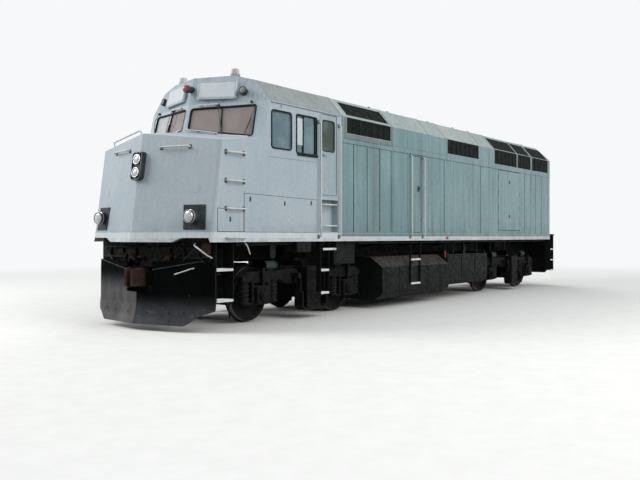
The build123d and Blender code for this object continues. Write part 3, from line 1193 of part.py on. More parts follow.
    with BuildPart() as motors:
        for end in (1, -1):
            block(tx + end * TRANSOM[1], tx + end * (AXLE_X - 140), *MOTOR_Y, AXLE_Z - 203,
                  AXLE_Z + 317)
            middle = (MOTOR_Y[0] + MOTOR_Y[1]) / 2
            rod(tx + end * (AXLE_X - 140), middle, AXLE_Z, MOTOR_R, MOTOR_Y[1] - MOTOR_Y[0],
                (90, 0, 0))
            rod(tx + end * AXLE_X, sum(GEAR_Y) / 2, AXLE_Z, GEAR_R, GEAR_Y[1] - GEAR_Y[0],
                (90, 0, 0))
            block(tx + end * (TRANSOM[1] + 60), tx + end * AXLE_X, MOTOR_Y[1], GEAR_Y[1],
                  AXLE_Z - 180, AXLE_Z + 180)
            rod(tx + end * AXLE_X, 0, AXLE_Z, AXLE_R + AXLE_ROOM, 1300, (90, 0, 0),
                mode=Mode.SUBTRACT)
    motors.part.label = f"{word}_motors"
    export_step(motors.part, f"parts/{word}_motors.step")

# Wheels on their axle, turned as one: half section as (y, radius)
TREAD_FALL = 7
RIM_T = 72
HUB_R = 150
HUB_OUT = WHEEL_IN + WHEEL_W + 30
HUB_IN = WHEEL_IN - 10
JOURNAL_Y = 1000
JOURNAL_L = 320
WHEELSETS = [(TRUCK_X + AXLE_X, "front_a"), (TRUCK_X - AXLE_X, "front_b"),
             (-TRUCK_X + AXLE_X, "rear_a"), (-TRUCK_X - AXLE_X, "rear_b")]
for wheel_x, word in WHEELSETS:
    with BuildPart() as wheelset:
        with BuildSketch(Plane.YZ.offset(wheel_x)) as half:
            with BuildLine():
                Polyline((HUB_IN, 0), (HUB_IN, HUB_R), (WHEEL_IN + 40, HUB_R + 50),
                         (WHEEL_IN + 36, WHEEL_R - RIM_T - 30), (WHEEL_IN, WHEEL_R - RIM_T),
                         (WHEEL_IN, FLANGE_R - 14))
                ThreePointArc((WHEEL_IN, FLANGE_R - 14), (WHEEL_IN + 13, FLANGE_R),
                              (WHEEL_IN + 27, FLANGE_R - 14))
                Polyline((WHEEL_IN + 27, FLANGE_R - 14), (WHEEL_IN + 36, WHEEL_R),
                         (WHEEL_IN + WHEEL_W - 6, WHEEL_R - TREAD_FALL),
                         (WHEEL_IN + WHEEL_W, WHEEL_R - TREAD_FALL - 6),
                         (WHEEL_IN + WHEEL_W, WHEEL_R - RIM_T),
                         (WHEEL_IN + 80, WHEEL_R - RIM_T - 30), (WHEEL_IN + 76, HUB_R + 50),
                         (HUB_OUT, HUB_R - 15), (HUB_OUT, 0), (HUB_IN, 0))
            make_face()
            with Locations((JOURNAL_Y, JOURNAL_R / 2)):
                Rectangle(JOURNAL_L, JOURNAL_R)
            with Locations((HUB_IN / 2, AXLE_R / 2)):
                Rectangle(HUB_IN, AXLE_R)
            mirror(about=Plane.YZ)
        revolve(half.sketch, Axis((wheel_x, 0, 0), (0, 1, 0)), 360)
    moved = wheelset.part.moved(Location((0, 0, AXLE_Z)))
    moved.label = f"wheelset_{word}"
    export_step(moved, f"parts/wheelset_{word}.step")
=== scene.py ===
"""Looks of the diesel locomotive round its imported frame. Metres, X forward, Y left, Z up."""
import math

import bmesh
import bpy
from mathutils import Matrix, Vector


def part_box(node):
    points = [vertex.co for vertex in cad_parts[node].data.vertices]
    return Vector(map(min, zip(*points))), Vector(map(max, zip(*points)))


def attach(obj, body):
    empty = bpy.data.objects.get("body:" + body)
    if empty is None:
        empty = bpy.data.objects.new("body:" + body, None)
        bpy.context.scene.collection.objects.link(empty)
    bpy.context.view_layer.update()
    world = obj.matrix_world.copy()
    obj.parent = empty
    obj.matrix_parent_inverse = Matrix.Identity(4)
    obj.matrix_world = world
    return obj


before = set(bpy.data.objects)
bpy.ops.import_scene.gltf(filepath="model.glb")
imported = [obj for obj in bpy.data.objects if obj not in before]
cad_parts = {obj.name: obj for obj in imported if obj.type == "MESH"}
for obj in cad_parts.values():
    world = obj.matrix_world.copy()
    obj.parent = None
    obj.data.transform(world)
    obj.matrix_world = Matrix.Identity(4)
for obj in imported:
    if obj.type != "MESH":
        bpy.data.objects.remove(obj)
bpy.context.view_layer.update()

# Driving dimensions, read from the frame where a node gives them
RAIL = 0.025
WALL_LOW, WALL_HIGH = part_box("hood_wall_left")
HALF = WALL_HIGH.y
EAVE = WALL_HIGH.z
SILL_TOP = WALL_LOW.z
SILL_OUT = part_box("side_sills")[1].y - HALF
REAR = WALL_LOW.x
CAB_REAR = WALL_HIGH.x
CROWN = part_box("hood_roof")[1].z
NOSE_X = 8.505
NOSE_REF = RAIL + 1.6
NOSE_SLOPE = 0.26
NOSE_LEAN = 0.145
CAB_X = 7.276
CAB_REF = RAIL + 3.535
CAB_SLOPE = 0.325
CAB_LEAN = 0.2515
SHOULDER = (1.2, EAVE + 0.405)
CROWN_Y = 0.8
TRUCK_X = 5.029
AXLE_X = 1.3715
AXLE_Z = 0.533
COUPLER_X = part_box("coupler_front")[1].x
COUPLER_Z = RAIL + 0.876
SIDES = ((1, "left"), (-1, "right"))


# Surfaces: each returns a function that maps two distances and a height off the surface to a point

def side_face(side, base=HALF):
    """Side wall: X, Z and the distance out."""
    return lambda x, z, out=0.0: Vector((x, side * (base + out), z))


def nose_face(side):
    """Nose front: Y from the crease, Z and the distance off the face."""
    normal = Vector((1, side * NOSE_SLOPE, NOSE_LEAN)).normalized()

    def at(y, z, out=0.0):
        x = NOSE_X - NOSE_SLOPE * y - NOSE_LEAN * (z - NOSE_REF)
        return Vector((x, side * y, z)) + normal * out
    return at


def cab_face(side):
    """Cab front: Y from the crease, Z and the distance off the face."""
    normal = Vector((1, side * CAB_SLOPE, CAB_LEAN)).normalized()

    def at(y, z, out=0.0):
        x = CAB_X - CAB_SLOPE * y - CAB_LEAN * (z - CAB_REF)
        return Vector((x, side * y, z)) + normal * out
    return at


def bevel_face(side):
    """Roof bevel: X, the share of the way up it and the distance off it."""
    run = Vector((0, side * (SHOULDER[0] - HALF), SHOULDER[1] - EAVE))
    normal = Vector((0, side * run.z, abs(run.y))).normalized()

    def at(x, share, out=0.0):
        return Vector((x, side * HALF, EAVE)) + run * share + normal * out
    return at


def flat_face(origin, across, up, normal):
    """A flat face through a point, with its two directions and its normal."""
    origin, across, up, normal = (Vector(v) for v in (origin, across, up, normal))
    return lambda a, b, out=0.0: origin + across * a + up * b + normal * out


def cross_face(x, way, side=1):
    """Upright face across the body at X: Y, Z and the distance off it. way is 1 where it faces
    ahead."""
    return lambda y, z, out=0.0: Vector((x + way * out, side * y, z))


# Outlines

def arc(cx, cy, radius, start, turn, steps=5):
    """Points on an arc, angles in degrees."""
    angles = (math.radians(start + turn * k / steps) for k in range(steps + 1))
    return [(cx + radius * math.cos(a), cy + radius * math.sin(a)) for a in angles]


def rounded(a0, a1, b0, b1, radius, steps=4):
    """A rectangle with round corners."""
    corners = ((a1, b1, 0, -1, -1), (a0, b1, 90, 1, -1), (a0, b0, 180, 1, 1), (a1, b0, 270, -1, 1))
    points = []
    for a, b, start, sa, sb in corners:
        points += arc(a + sa * radius, b + sb * radius, radius, start, 90, steps)
    return points


def round_corners(points, radius, steps=4):
    """Any outline with each corner turned into a curve."""
    out = []
    for k, here in enumerate(points):
        here = Vector(here)
        before = (Vector(points[k - 1]) - here).normalized()
        after = (Vector(points[(k + 1) % len(points)]) - here).normalized()
        reach = radius / math.tan(before.angle(after) / 2)
        start, end = here + before * reach, here + after * reach
        for i in range(steps + 1):
            t = i / steps
            out.append(tuple(start * (1 - t) ** 2 + here * 2 * t * (1 - t) + end * t ** 2))
    return out


def grown(outline, by):
    """An outline moved outward by a distance, square to its edges."""
    points = [Vector(p) for p in outline]
    n = len(points)
    turn = sum(points[k - 1].x * points[k].y - points[k].x * points[k - 1].y for k in range(n))
    way = by if turn > 0 else -by
    moved = []
    for k, here in enumerate(points):
        before = (here - points[k - 1]).normalized()
        after = (points[(k + 1) % n] - here).normalized()
        square = Vector((before.y + after.y, -before.x - after.x)).normalized()
        reach = way / max(0.4, square.dot(Vector((after.y, -after.x))))
        moved.append(tuple(here + square * reach))
    return moved


def eased(points, bend, steps=4):
    """An open path with each of its inner corners turned into a curve."""
    points = [Vector(p) for p in points]
    out = [points[0]]
    for before, here, after in zip(points, points[1:], points[2:]):
        start = here + (before - here).normalized() * bend
        end = here + (after - here).normalized() * bend
        for k in range(steps + 1):
            t = k / steps
            out.append(start * (1 - t) ** 2 + here * 2 * t * (1 - t) + end * t ** 2)
    return out + [points[-1]]


class Shape:
    """Collects the faces of one joined piece."""

    def __init__(self):
        self.points = []
        self.faces = []

    def add(self, points, faces):
        start = len(self.points)
        self.points += [tuple(p) for p in points]
        self.faces += [tuple(start + k for k in face) for face in faces]

    def prism(self, low, high):
        """A closed solid between two outlines with as many points."""
        n = len(low)
        sides = [(k, (k + 1) % n, n + (k + 1) % n, n + k) for k in range(n)]
        self.add(list(low) + list(high), [tuple(range(n)), tuple(range(n, 2 * n))] + sides)

    def plate(self, at, outline, out0, out1, bevel=0.0):
        """A plate on a surface between two heights, with its outer edge taken off."""
        rings = [[at(a, b, out0) for a, b in outline]]
        if bevel:
            rings.append([at(a, b, out1 - bevel) for a, b in outline])
        rings.append([at(a, b, out1) for a, b in grown(outline, -1.4 * bevel)])
        self.stack(rings)

    def stack(self, rings):
        """Closed rings joined in order, with both ends filled."""
        n = len(rings[0])
        faces = [tuple(range(n))]
        for level in range(len(rings) - 1):
            base = level * n
            faces += [(base + k, base + (k + 1) % n, base + n + (k + 1) % n, base + n + k)
                      for k in range(n)]
        faces.append(tuple(range((len(rings) - 1) * n, len(rings) * n)))
        self.add([p for ring in rings for p in ring], faces)

    def box(self, low, high):
        """A block between two corners."""
        (x0, y0, z0), (x1, y1, z1) = low, high
        ring = [(x0, y0), (x1, y0), (x1, y1), (x0, y1)]
        self.prism([(x, y, z0) for x, y in ring], [(x, y, z1) for x, y in ring])

    def band(self, at, outline, width, out0, out1):
        """A flat ring round an outline, as wide outward as width."""
        inner, outer = outline, grown(outline, width)
        n = len(inner)
        points = [at(a, b, out) for out in (out0, out1) for line in (inner, outer) for a, b in line]
        faces = []
        for k in range(n):
            m = (k + 1) % n
            faces += [(k, m, n + m, n + k), (2 * n + k, 2 * n + m, 3 * n + m, 3 * n + k),
                      (k, m, 2 * n + m, 2 * n + k), (n + k, n + m, 3 * n + m, 3 * n + k)]
        self.add(points, faces)

    def tube(self, path, radius, sides=8, closed=False, flat=1.0):
        """A round bar along a path. flat squeezes it across the path's own plane."""
        path = [Vector(p) for p in path]
        n = len(path)
        guide = None
        rings = []
        for k, here in enumerate(path):
            ahead = path[(k + 1) % n] if closed or k < n - 1 else here
            behind = path[k - 1] if closed or k > 0 else here
            along = (ahead - behind).normalized()
            if guide is None:
                guide = along.orthogonal().normalized()
            guide = (guide - along * guide.dot(along)).normalized()
            other = along.cross(guide)
            first = (here - behind).normalized() if (here - behind).length else along
            stretch = 1 / max(0.5, abs(first.dot(along)))
            size = radius * min(stretch, 1.4)
            rings.append([here + guide * size * math.cos(t) + other * size * flat * math.sin(t)
                          for t in (2 * math.pi * i / sides for i in range(sides))])
        if not closed:
            self.stack(rings)
            return
        faces = []
        for level in range(n):
            base, up = level * sides, (level + 1) % n * sides
            faces += [(base + k, base + (k + 1) % sides, up + (k + 1) % sides, up + k)
                      for k in range(sides)]
        self.add([p for ring in rings for p in ring], faces)

    def turned(self, origin, axis, profile, sides=24):
        """A solid of revolution. The profile is (distance along the axis, radius)."""
        origin, axis = Vector(origin), Vector(axis).normalized()
        first = axis.orthogonal().normalized()
        second = axis.cross(first)
        self.stack([[origin + axis * a + (first * math.cos(t) + second * math.sin(t)) * max(r, 1e-4)
                     for t in (2 * math.pi * i / sides for i in range(sides))]
                    for a, r in profile])

    def hoop(self, origin, axis, profile, sides=72):
        """A ring of revolution with a hole, its section a closed (along, radius) outline."""
        origin, axis = Vector(origin), Vector(axis).normalized()
        first = axis.orthogonal().normalized()
        second = axis.cross(first)
        n = len(profile)
        points, faces = [], []
        for i in range(sides):
            t = 2 * math.pi * i / sides
            away = first * math.cos(t) + second * math.sin(t)
            points += [origin + axis * a + away * r for a, r in profile]
            base, up = i * n, (i + 1) % sides * n
            faces += [(base + k, base + (k + 1) % n, up + (k + 1) % n, up + k) for k in range(n)]
        self.add(points, faces)

    def bolt(self, at, a, b, radius=0.011, height=0.008, out=0.0):
        """A six-sided bolt head on a surface."""
        base = at(a, b, out)
        axis = (at(a, b, out + 1) - base).normalized()
        self.turned(base, axis, [(-0.002, radius), (height * 0.7, radius),
                                 (height, radius * 0.75)], 6)

    def rivet(self, at, a, b, radius=0.008, out=0.0):
        """A domed rivet head on a surface."""
        base = at(a, b, out)
        axis = (at(a, b, out + 1) - base).normalized()
        self.turned(base, axis, [(-0.001, radius), (radius * 0.35, radius * 0.85),
                                 (radius * 0.55, radius * 0.35)], 8)

    def spring(self, low, high, radius, wire, turns, steps=18, sides=7):
        """A coil spring between two points."""
        low, high = Vector(low), Vector(high)
        count = int(turns * steps)
        path = []
        for k in range(count + 1):
            share = k / count
            rise = min(max((share * turns - 0.6) / (turns - 1.2), 0), 1)
            angle = 2 * math.pi * turns * share
            spot = low.lerp(high, rise)
            path.append(spot + Vector((math.cos(angle), math.sin(angle), 0)) * radius)
        self.tube(path, wire, sides)


SHARP = math.radians(32)


def shapes(count):
    """Empty shapes, one for each piece of a section."""
    return [Shape() for _ in range(count)]


def piece(name, shape, slot, look=None, body="body"):
    """Makes the object and gives it its body and a look, the slot's own unless named."""
    data = bpy.data.meshes.new(name)
    data.from_pydata(shape.points, [], shape.faces)
    work = bmesh.new()
    work.from_mesh(data)
    bmesh.ops.recalc_face_normals(work, faces=work.faces)
    work.to_mesh(data)
    work.free()
    data.shade_smooth()
    data.set_sharp_from_angle(angle=SHARP)
    data.materials.append(LOOKS[look or slot])
    made = bpy.data.objects.new(name, data)
    bpy.context.scene.collection.objects.link(made)
    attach(made, body)
    return made


# Materials

def colour(red, green, blue):
    """A colour as it shows on screen, 0 to 255, turned into a linear one."""
    def linear(c):
        c = c / 255
        return c / 12.92 if c <= 0.04045 else ((c + 0.055) / 1.055) ** 2.4
    return (linear(red), linear(green), linear(blue), 1.0)


class Nodes:
    """A node tree, with short calls that make and link its nodes."""

    def __init__(self, tree):
        self.tree = tree

    def node(self, kind, **values):
        made = self.tree.nodes.new(kind)
        for key, value in values.items():
            if isinstance(value, bpy.types.NodeSocket):
                self.tree.links.new(value, made.inputs[key])
            elif key in made.inputs:
                made.inputs[key].default_value = value
            else:
                setattr(made, key, value)
        return made

    def sums(self, operation, first, second):
        made = self.node("ShaderNodeMath", operation=operation)
        for key, value in enumerate((first, second)):
            if isinstance(value, bpy.types.NodeSocket):
                self.tree.links.new(value, made.inputs[key])
            else:
                made.inputs[key].default_value = value
        return made.outputs["Value"]

    def part(self, vector, axis):
        split = self.node("ShaderNodeSeparateXYZ")
        self.tree.links.new(vector, split.inputs["Vector"])
        return split.outputs[axis]

    def mix(self, share, first, second, blend="MIX"):
        made = self.node("ShaderNodeMix", data_type="RGBA", blend_type=blend)
        for key, value in ((0, share), (6, first), (7, second)):
            if isinstance(value, bpy.types.NodeSocket):
                self.tree.links.new(value, made.inputs[key])
            else:
                made.inputs[key].default_value = value
        return made.outputs[2]

    def blend(self, share, first, second):
        made = self.node("ShaderNodeMixShader")
        for key, value in enumerate((share, first, second)):
            self.tree.links.new(value, made.inputs[key])
        return made.outputs[0]


class Look(Nodes):
    """One material: its node tree, its shader, and the place and normal of its surface."""

    def __init__(self, name):
        self.material = bpy.data.materials.new(name)
        self.material.use_nodes = True
        super().__init__(self.material.node_tree)
        self.shader = self.tree.nodes["Principled BSDF"]
        self.place = self.node("ShaderNodeTexCoord").outputs["Object"]
        self.normal = self.node("ShaderNodeNewGeometry").outputs["Normal"]

    def link(self, socket, key):
        self.tree.links.new(socket, self.shader.inputs[key])

    def stretched(self, scale):
        moved = self.node("ShaderNodeMapping", Scale=scale)
        self.tree.links.new(self.place, moved.inputs["Vector"])
        return moved.outputs["Vector"]

    def noise(self, scale, detail=3.0, stretch=(1, 1, 1), rough=0.5, bend=0.0):
        made = self.node("ShaderNodeTexNoise", Scale=scale, Detail=detail, Roughness=rough,
                         Distortion=bend)
        self.tree.links.new(self.stretched(stretch), made.inputs["Vector"])
        return made.outputs["Fac"]

    def remap(self, value, low, high, to_low=0.0, to_high=1.0):
        made = self.node("ShaderNodeMapRange")
        self.tree.links.new(value, made.inputs["Value"])
        made.inputs["From Min"].default_value = low
        made.inputs["From Max"].default_value = high
        made.inputs["To Min"].default_value = to_low
        made.inputs["To Max"].default_value = to_high
        made.interpolation_type = "SMOOTHSTEP"
        return made.outputs["Result"]

    def bump(self, height, distance, strength=1.0, under=None):
        made = self.node("ShaderNodeBump", Strength=strength, Distance=distance)
        self.tree.links.new(height, made.inputs["Height"])
        if under is not None:
            self.tree.links.new(under, made.inputs["Normal"])
        return made.outputs["Normal"]


CHIP = (96, 82, 72)
ROAD_DUST = (78, 75, 70)
RUST = (96, 60, 42)
# Painted sky reflection: pale tint on the outer half of the right windscreen
SKY_REFLECTION_PANE = (212, 218, 216)
# Painted lit side: colour of the plow's lower right wing
PLOW_LIT_SIDE = (104, 103, 102)
PLOW_SCRAPE = (122, 120, 118)
PLOW_RUST = (84, 60, 48)


def paint(name, base, faded, dirt, streaks, chips, rough, dirt_top=2.1, wave=0.004, front=None,
          aft=None, bands=None):
    """Weathered body paint: faded patches, rain streaks, splashed dirt, chips and uneven sheet.
    front is the colour of what faces ahead, aft the tone that the paint fades to towards the rear,
    bands the colour of broad upright runs of dirt."""
    look = Look(name)
    base, faded, dirt = colour(*base), colour(*faded), colour(*dirt)
    patches = look.remap(look.noise(0.8, 4), 0.35, 0.7)
    tone = look.mix(patches, base, faded)
    if bands:
        broad = look.remap(look.noise(2.6, 3, (1, 1, 0.05), 0.6), 0.52, 0.68, 0.0, 0.55)
        tone = look.mix(broad, tone, colour(*bands))
    if aft:
        along = look.remap(look.part(look.place, "X"), CAB_REAR, REAR, 0.0, 0.75)
        tone = look.mix(along, tone, colour(*aft))
    if front:
        ahead = look.remap(look.part(look.normal, "X"), 0.35, 0.6)
        tone = look.mix(ahead, tone, colour(*front))
    mottle = look.remap(look.noise(16, 5, rough=0.7), 0.3, 0.7)
    tone = look.mix(look.sums("MULTIPLY", mottle, 0.22), tone, dirt)
    runs = look.remap(look.noise(7, 4, (1, 1, 0.06)), 0.48, 0.72)
    fine = look.remap(look.noise(30, 3, (1, 1, 0.03)), 0.5, 0.75)
    down = look.remap(look.part(look.normal, "Z"), 0.5, 0.9, 1.0, 0.3)
    streaking = look.sums("MULTIPLY", look.sums("MAXIMUM", runs, fine), down)
    tone = look.mix(look.sums("MULTIPLY", streaking, streaks), tone, dirt)
    height = look.part(look.place, "Z")
    splash = look.remap(height, dirt_top, SILL_TOP - 0.1, 0.0, 0.55)
    splash = look.sums("MULTIPLY", splash, look.remap(look.noise(5, 5), 0.3, 0.75))
    tone = look.mix(splash, tone, dirt)
    spots = look.remap(look.noise(42, 4, rough=0.65), 0.71, 0.76)
    tone = look.mix(look.sums("MULTIPLY", spots, chips), tone, colour(*CHIP))
    look.link(tone, "Base Color")
    look.link(look.remap(look.noise(9, 4), 0.3, 0.7, rough - 0.08, rough + 0.14), "Roughness")
    sheet = look.bump(look.noise(1.7, 2), wave)
    look.link(look.bump(look.noise(120, 3), 0.0006, 0.6, sheet), "Normal")
    look.shader.inputs["Specular IOR Level"].default_value = 0.4
    return look.material


def grime(name, base, dust, rough, dusting, rust=0.12, metal=0.0):
    """Black running gear: oil, road dust on what faces up, and rust."""
    look = Look(name)
    tone = look.mix(look.remap(look.noise(6, 5), 0.35, 0.7), colour(*base), colour(*dust))
    up = look.remap(look.part(look.normal, "Z"), 0.1, 0.95)
    settled = look.sums("MULTIPLY", up, look.remap(look.noise(11, 5, rough=0.65), 0.25, 0.65))
    tone = look.mix(look.sums("MULTIPLY", settled, dusting), tone, colour(*ROAD_DUST))
    rusty = look.remap(look.noise(9, 6, rough=0.75), 0.56, 0.7)
    tone = look.mix(look.sums("MULTIPLY", rusty, rust), tone, colour(*RUST))
    look.link(tone, "Base Color")
    look.link(look.remap(look.noise(13, 4), 0.3, 0.7, rough - 0.18, rough + 0.14), "Roughness")
    cast = look.bump(look.noise(60, 4, rough=0.6), 0.0016, 0.7)
    look.link(look.bump(look.noise(7, 3), 0.003, 0.5, cast), "Normal")
    look.shader.inputs["Metallic"].default_value = metal
    look.shader.inputs["Specular IOR Level"].default_value = 0.12
    return look.material


def glossy(name, base, tint, rough, metal=0.0, coat=0.0, clear=0.0):
    """Glass, lens or bright metal with dust film and faint ripples."""
    look = Look(name)
    film = look.remap(look.noise(5.0, 5, rough=0.65), 0.35, 0.75)
    look.link(look.mix(film, colour(*base), colour(*tint)), "Base Color")
    look.link(look.remap(film, 0.0, 1.0, rough, rough + 0.16), "Roughness")
    look.link(look.bump(look.noise(3.0, 2), 0.0016, 0.4), "Normal")
    look.shader.inputs["Metallic"].default_value = metal
    look.shader.inputs["Coat Weight"].default_value = coat
    look.shader.inputs["Transmission Weight"].default_value = clear
    return look.material


def pane(name, base, film, solid, ahead=None):
    """Dusty tinted glass that shows what is behind it. ahead is the tint of what faces ahead; the
    outer half of the right windscreen takes a painted sky reflection.
    """
    look = Look(name)
    dust = look.remap(look.noise(2.2, 3, rough=0.55), 0.35, 0.75)
    runs = look.remap(look.noise(17, 3, (1, 1, 0.1)), 0.5, 0.75, 0.0, 0.3)
    dust = look.sums("MAXIMUM", dust, runs)
    tone = look.mix(dust, colour(*base), colour(*film))
    if ahead:
        # Painted reflection: what faces ahead beyond Y -0.66 turns to the pale sky tint
        far = look.remap(look.part(look.place, "Y"), -0.66, -0.74)
        ahead = look.mix(look.sums("MULTIPLY", far, 0.9), colour(*ahead), colour(*SKY_REFLECTION_PANE))
        tone = look.mix(look.remap(look.part(look.normal, "X"), 0.35, 0.6), tone, ahead)
    look.link(tone, "Base Color")
    look.link(look.remap(dust, 0.0, 1.0, solid, solid + 0.14), "Alpha")
    look.link(look.remap(dust, 0.0, 1.0, 0.03, 0.14), "Roughness")
    look.link(look.bump(look.noise(2.4, 2), 0.001, 0.3), "Normal")
    look.shader.inputs["Coat Weight"].default_value = 0.4
    look.shader.inputs["Coat Roughness"].default_value = 0.03
    return look.material


def ploughed(name, base, worn_lit_tone, low, high):
    """Black plate, paler and greyer low down from wear and painted sky light, with a painted lit
    lower right wing.
    """
    look = Look(name)
    height = look.part(look.place, "Z")
    # Paler and greyer towards the bottom: wear, and a painted sky reflection on the up-facing lower
    # blade
    worn_and_lit = look.remap(height, high, low)
    uneven = look.remap(look.noise(3.2, 5, (1, 1, 0.5), 0.6), 0.3, 0.7, 0.55, 1.0)
    # Painted lit side: the lower right wing, facing -Y, is painted paler
    right = look.remap(look.part(look.normal, "Y"), -0.05, -0.15, 0.0, 0.85)
    right = look.sums("MULTIPLY", right, look.remap(height, 1.05, 0.6))
    worn_lit_tone = look.mix(right, colour(*worn_lit_tone), colour(*PLOW_LIT_SIDE))
    worn_and_lit = look.sums("MAXIMUM", worn_and_lit, right)
    tone = look.mix(look.sums("MULTIPLY", worn_and_lit, uneven), colour(*base), worn_lit_tone)
    scrapes = look.remap(look.noise(26, 4, (0.15, 0.15, 1), 0.7, 0.4), 0.6, 0.68, 0.0, 0.4)
    tone = look.mix(look.sums("MULTIPLY", scrapes, worn_and_lit), tone, colour(*PLOW_SCRAPE))
    rusty = look.remap(look.noise(7, 6, rough=0.75), 0.58, 0.7, 0.0, 0.25)
    tone = look.mix(look.sums("MULTIPLY", rusty, worn_and_lit), tone, colour(*PLOW_RUST))
    look.link(tone, "Base Color")
    look.link(look.remap(look.noise(13, 4), 0.3, 0.7, 0.65, 0.85), "Roughness")
    dents = look.bump(look.noise(4.2, 3), 0.008, 0.7)
    look.link(look.bump(look.noise(70, 4, rough=0.6), 0.001, 0.6, dents), "Normal")
    look.link(look.remap(worn_and_lit, 0.0, 1.0, 0.015, 0.15), "Specular IOR Level")
    return look.material


NOSE_GREY = (162, 175, 183)
# Paints: base, faded and dirt colours, share of streaks and of chips, roughness, what differs
PAINTS = {
    "nose_paint": (NOSE_GREY, (170, 181, 187), (126, 136, 141), 0.14, 0.4, 0.45,
                   {"dirt_top": 1.95}),
    "hood_paint": ((110, 138, 142), (126, 152, 156), (80, 100, 102), 0.5, 0.5, 0.48,
                   {"aft": (140, 166, 169), "bands": (98, 112, 108)}),
    "hood_edge": ((106, 123, 121), (118, 133, 130), (74, 83, 79), 0.5, 0.7, 0.55, {}),
    "roof_paint": ((130, 139, 141), (144, 150, 149), (96, 101, 99), 0.45, 0.7, 0.65,
                   {"front": NOSE_GREY}),
    "hood_roof": ((142, 156, 156), (158, 168, 164), (102, 110, 106), 0.35, 0.6, 0.6, {}),
    "door_paint": ((152, 168, 174), (162, 175, 180), (112, 122, 124), 0.25, 0.4, 0.45,
                   {"dirt_top": 1.9}),
    "sill_paint": ((196, 206, 212), (202, 208, 211), (146, 148, 146), 0.16, 0.6, 0.5,
                   {"dirt_top": 1.58}),
    "inner_paint": ((84, 98, 94), (94, 104, 100), (60, 66, 62), 0.1, 0.2, 0.55, {}),
    "beacon_grey": ((150, 152, 150), (168, 168, 162), (104, 100, 94), 0.3, 0.7, 0.5, {}),
    "board_white": ((190, 199, 205), (198, 203, 205), (150, 156, 158), 0.15, 0.2, 0.35, {}),
    "tread_white": ((214, 220, 222), (222, 225, 224), (150, 148, 142), 0.3, 0.9, 0.5,
                    {"dirt_top": 0.4, "wave": 0.001}),
    "rail_white": ((196, 204, 203), (206, 210, 207), (142, 140, 132), 0.25, 0.8, 0.4,
                   {"wave": 0.001}),
}
# Castings and black parts: base and dust colours, roughness, dusting, rust, metal
GRIMES = {
    "frame_black": ((9, 11, 11), (18, 20, 20), 0.7, 0.3, 0.2),
    "tank_black": ((13, 17, 17), (21, 26, 25), 0.65, 0.9, 0.1),
    "grille_black": ((22, 29, 27), (34, 42, 39), 0.55, 0.3, 0.06),
    "engine_paint": ((104, 108, 106), (84, 86, 82), 0.5, 0.4),
    "dark_metal": ((58, 60, 60), (80, 80, 78), 0.45, 0.4, 0.2, 0.5),
    "foot_metal": ((78, 84, 86), (104, 110, 110), 0.6, 0.3, 0.5),
    "rubber": ((20, 21, 21), (34, 34, 33), 0.6, 0.3, 0.0),
    "joint_dark": ((24, 33, 33), (38, 47, 46), 0.8, 0.1, 0.1),
    "lamp_case": ((40, 45, 49), (60, 66, 69), 0.5, 0.3, 0.05),
    "coupler_rust": ((40, 31, 28), (62, 42, 35), 0.78, 0.15, 0.5),
    "rim_grey": ((24, 25, 26), (36, 34, 33), 0.6, 0.3, 0.3),
    "truck_black": ((9, 10, 10), (19, 20, 20), 0.7, 0.4, 0.16),
    "wheel_steel": ((14, 13, 13), (25, 22, 21), 0.65, 0.3, 0.3),
    # Brake cylinders: heavy pale tone on what faces up, partly real dust and partly a painted lit
    # top
    "cylinder_teal_lit_top": ((44, 52, 53), (64, 74, 75), 0.6, 0.9, 0.1),
    "filler_orange": ((150, 92, 44), (104, 64, 36), 0.6, 0.2, 0.4),
    "valve_red": ((160, 66, 74), (120, 54, 58), 0.6, 0.2, 0.2),
}
# Lenses and bright metal: base and film colours, roughness, metal, coat, clear
GLOSSES = {
    "lamp_metal": ((176, 180, 182), (132, 134, 132), 0.2, 0.8),
    "lens": ((226, 230, 232), (196, 200, 200), 0.06, 0.0, 0.8, 0.25),
    "beacon_lens": ((188, 190, 186), (164, 162, 154), 0.4, 0.0, 0.1),
    "red_lens": ((158, 44, 40), (120, 40, 38), 0.12, 0.0, 0.8, 0.2),
    "smoke_lens": ((112, 114, 112), (136, 134, 128), 0.5, 0.0, 0.05),
    "horn_metal": ((160, 162, 160), (108, 110, 106), 0.3, 0.7),
    "bright_steel": ((120, 122, 124), (84, 78, 72), 0.28, 0.9),
}
LOOKS = {
    "glass": pane("glass", (20, 40, 33), (62, 90, 80), 0.84),
    "windscreen": pane("windscreen", (92, 128, 138), (118, 146, 154), 0.6, (158, 146, 142)),
    "plow_black": ploughed("plow_black", (7, 9, 9), (62, 65, 69), 0.2, 0.66),
}
for name, (*row, more) in PAINTS.items():
    LOOKS[name] = paint(name, *row, **more)
for name, row in GRIMES.items():
    LOOKS[name] = grime(name, *row)
for name, row in GLOSSES.items():
    LOOKS[name] = glossy(name, *row)

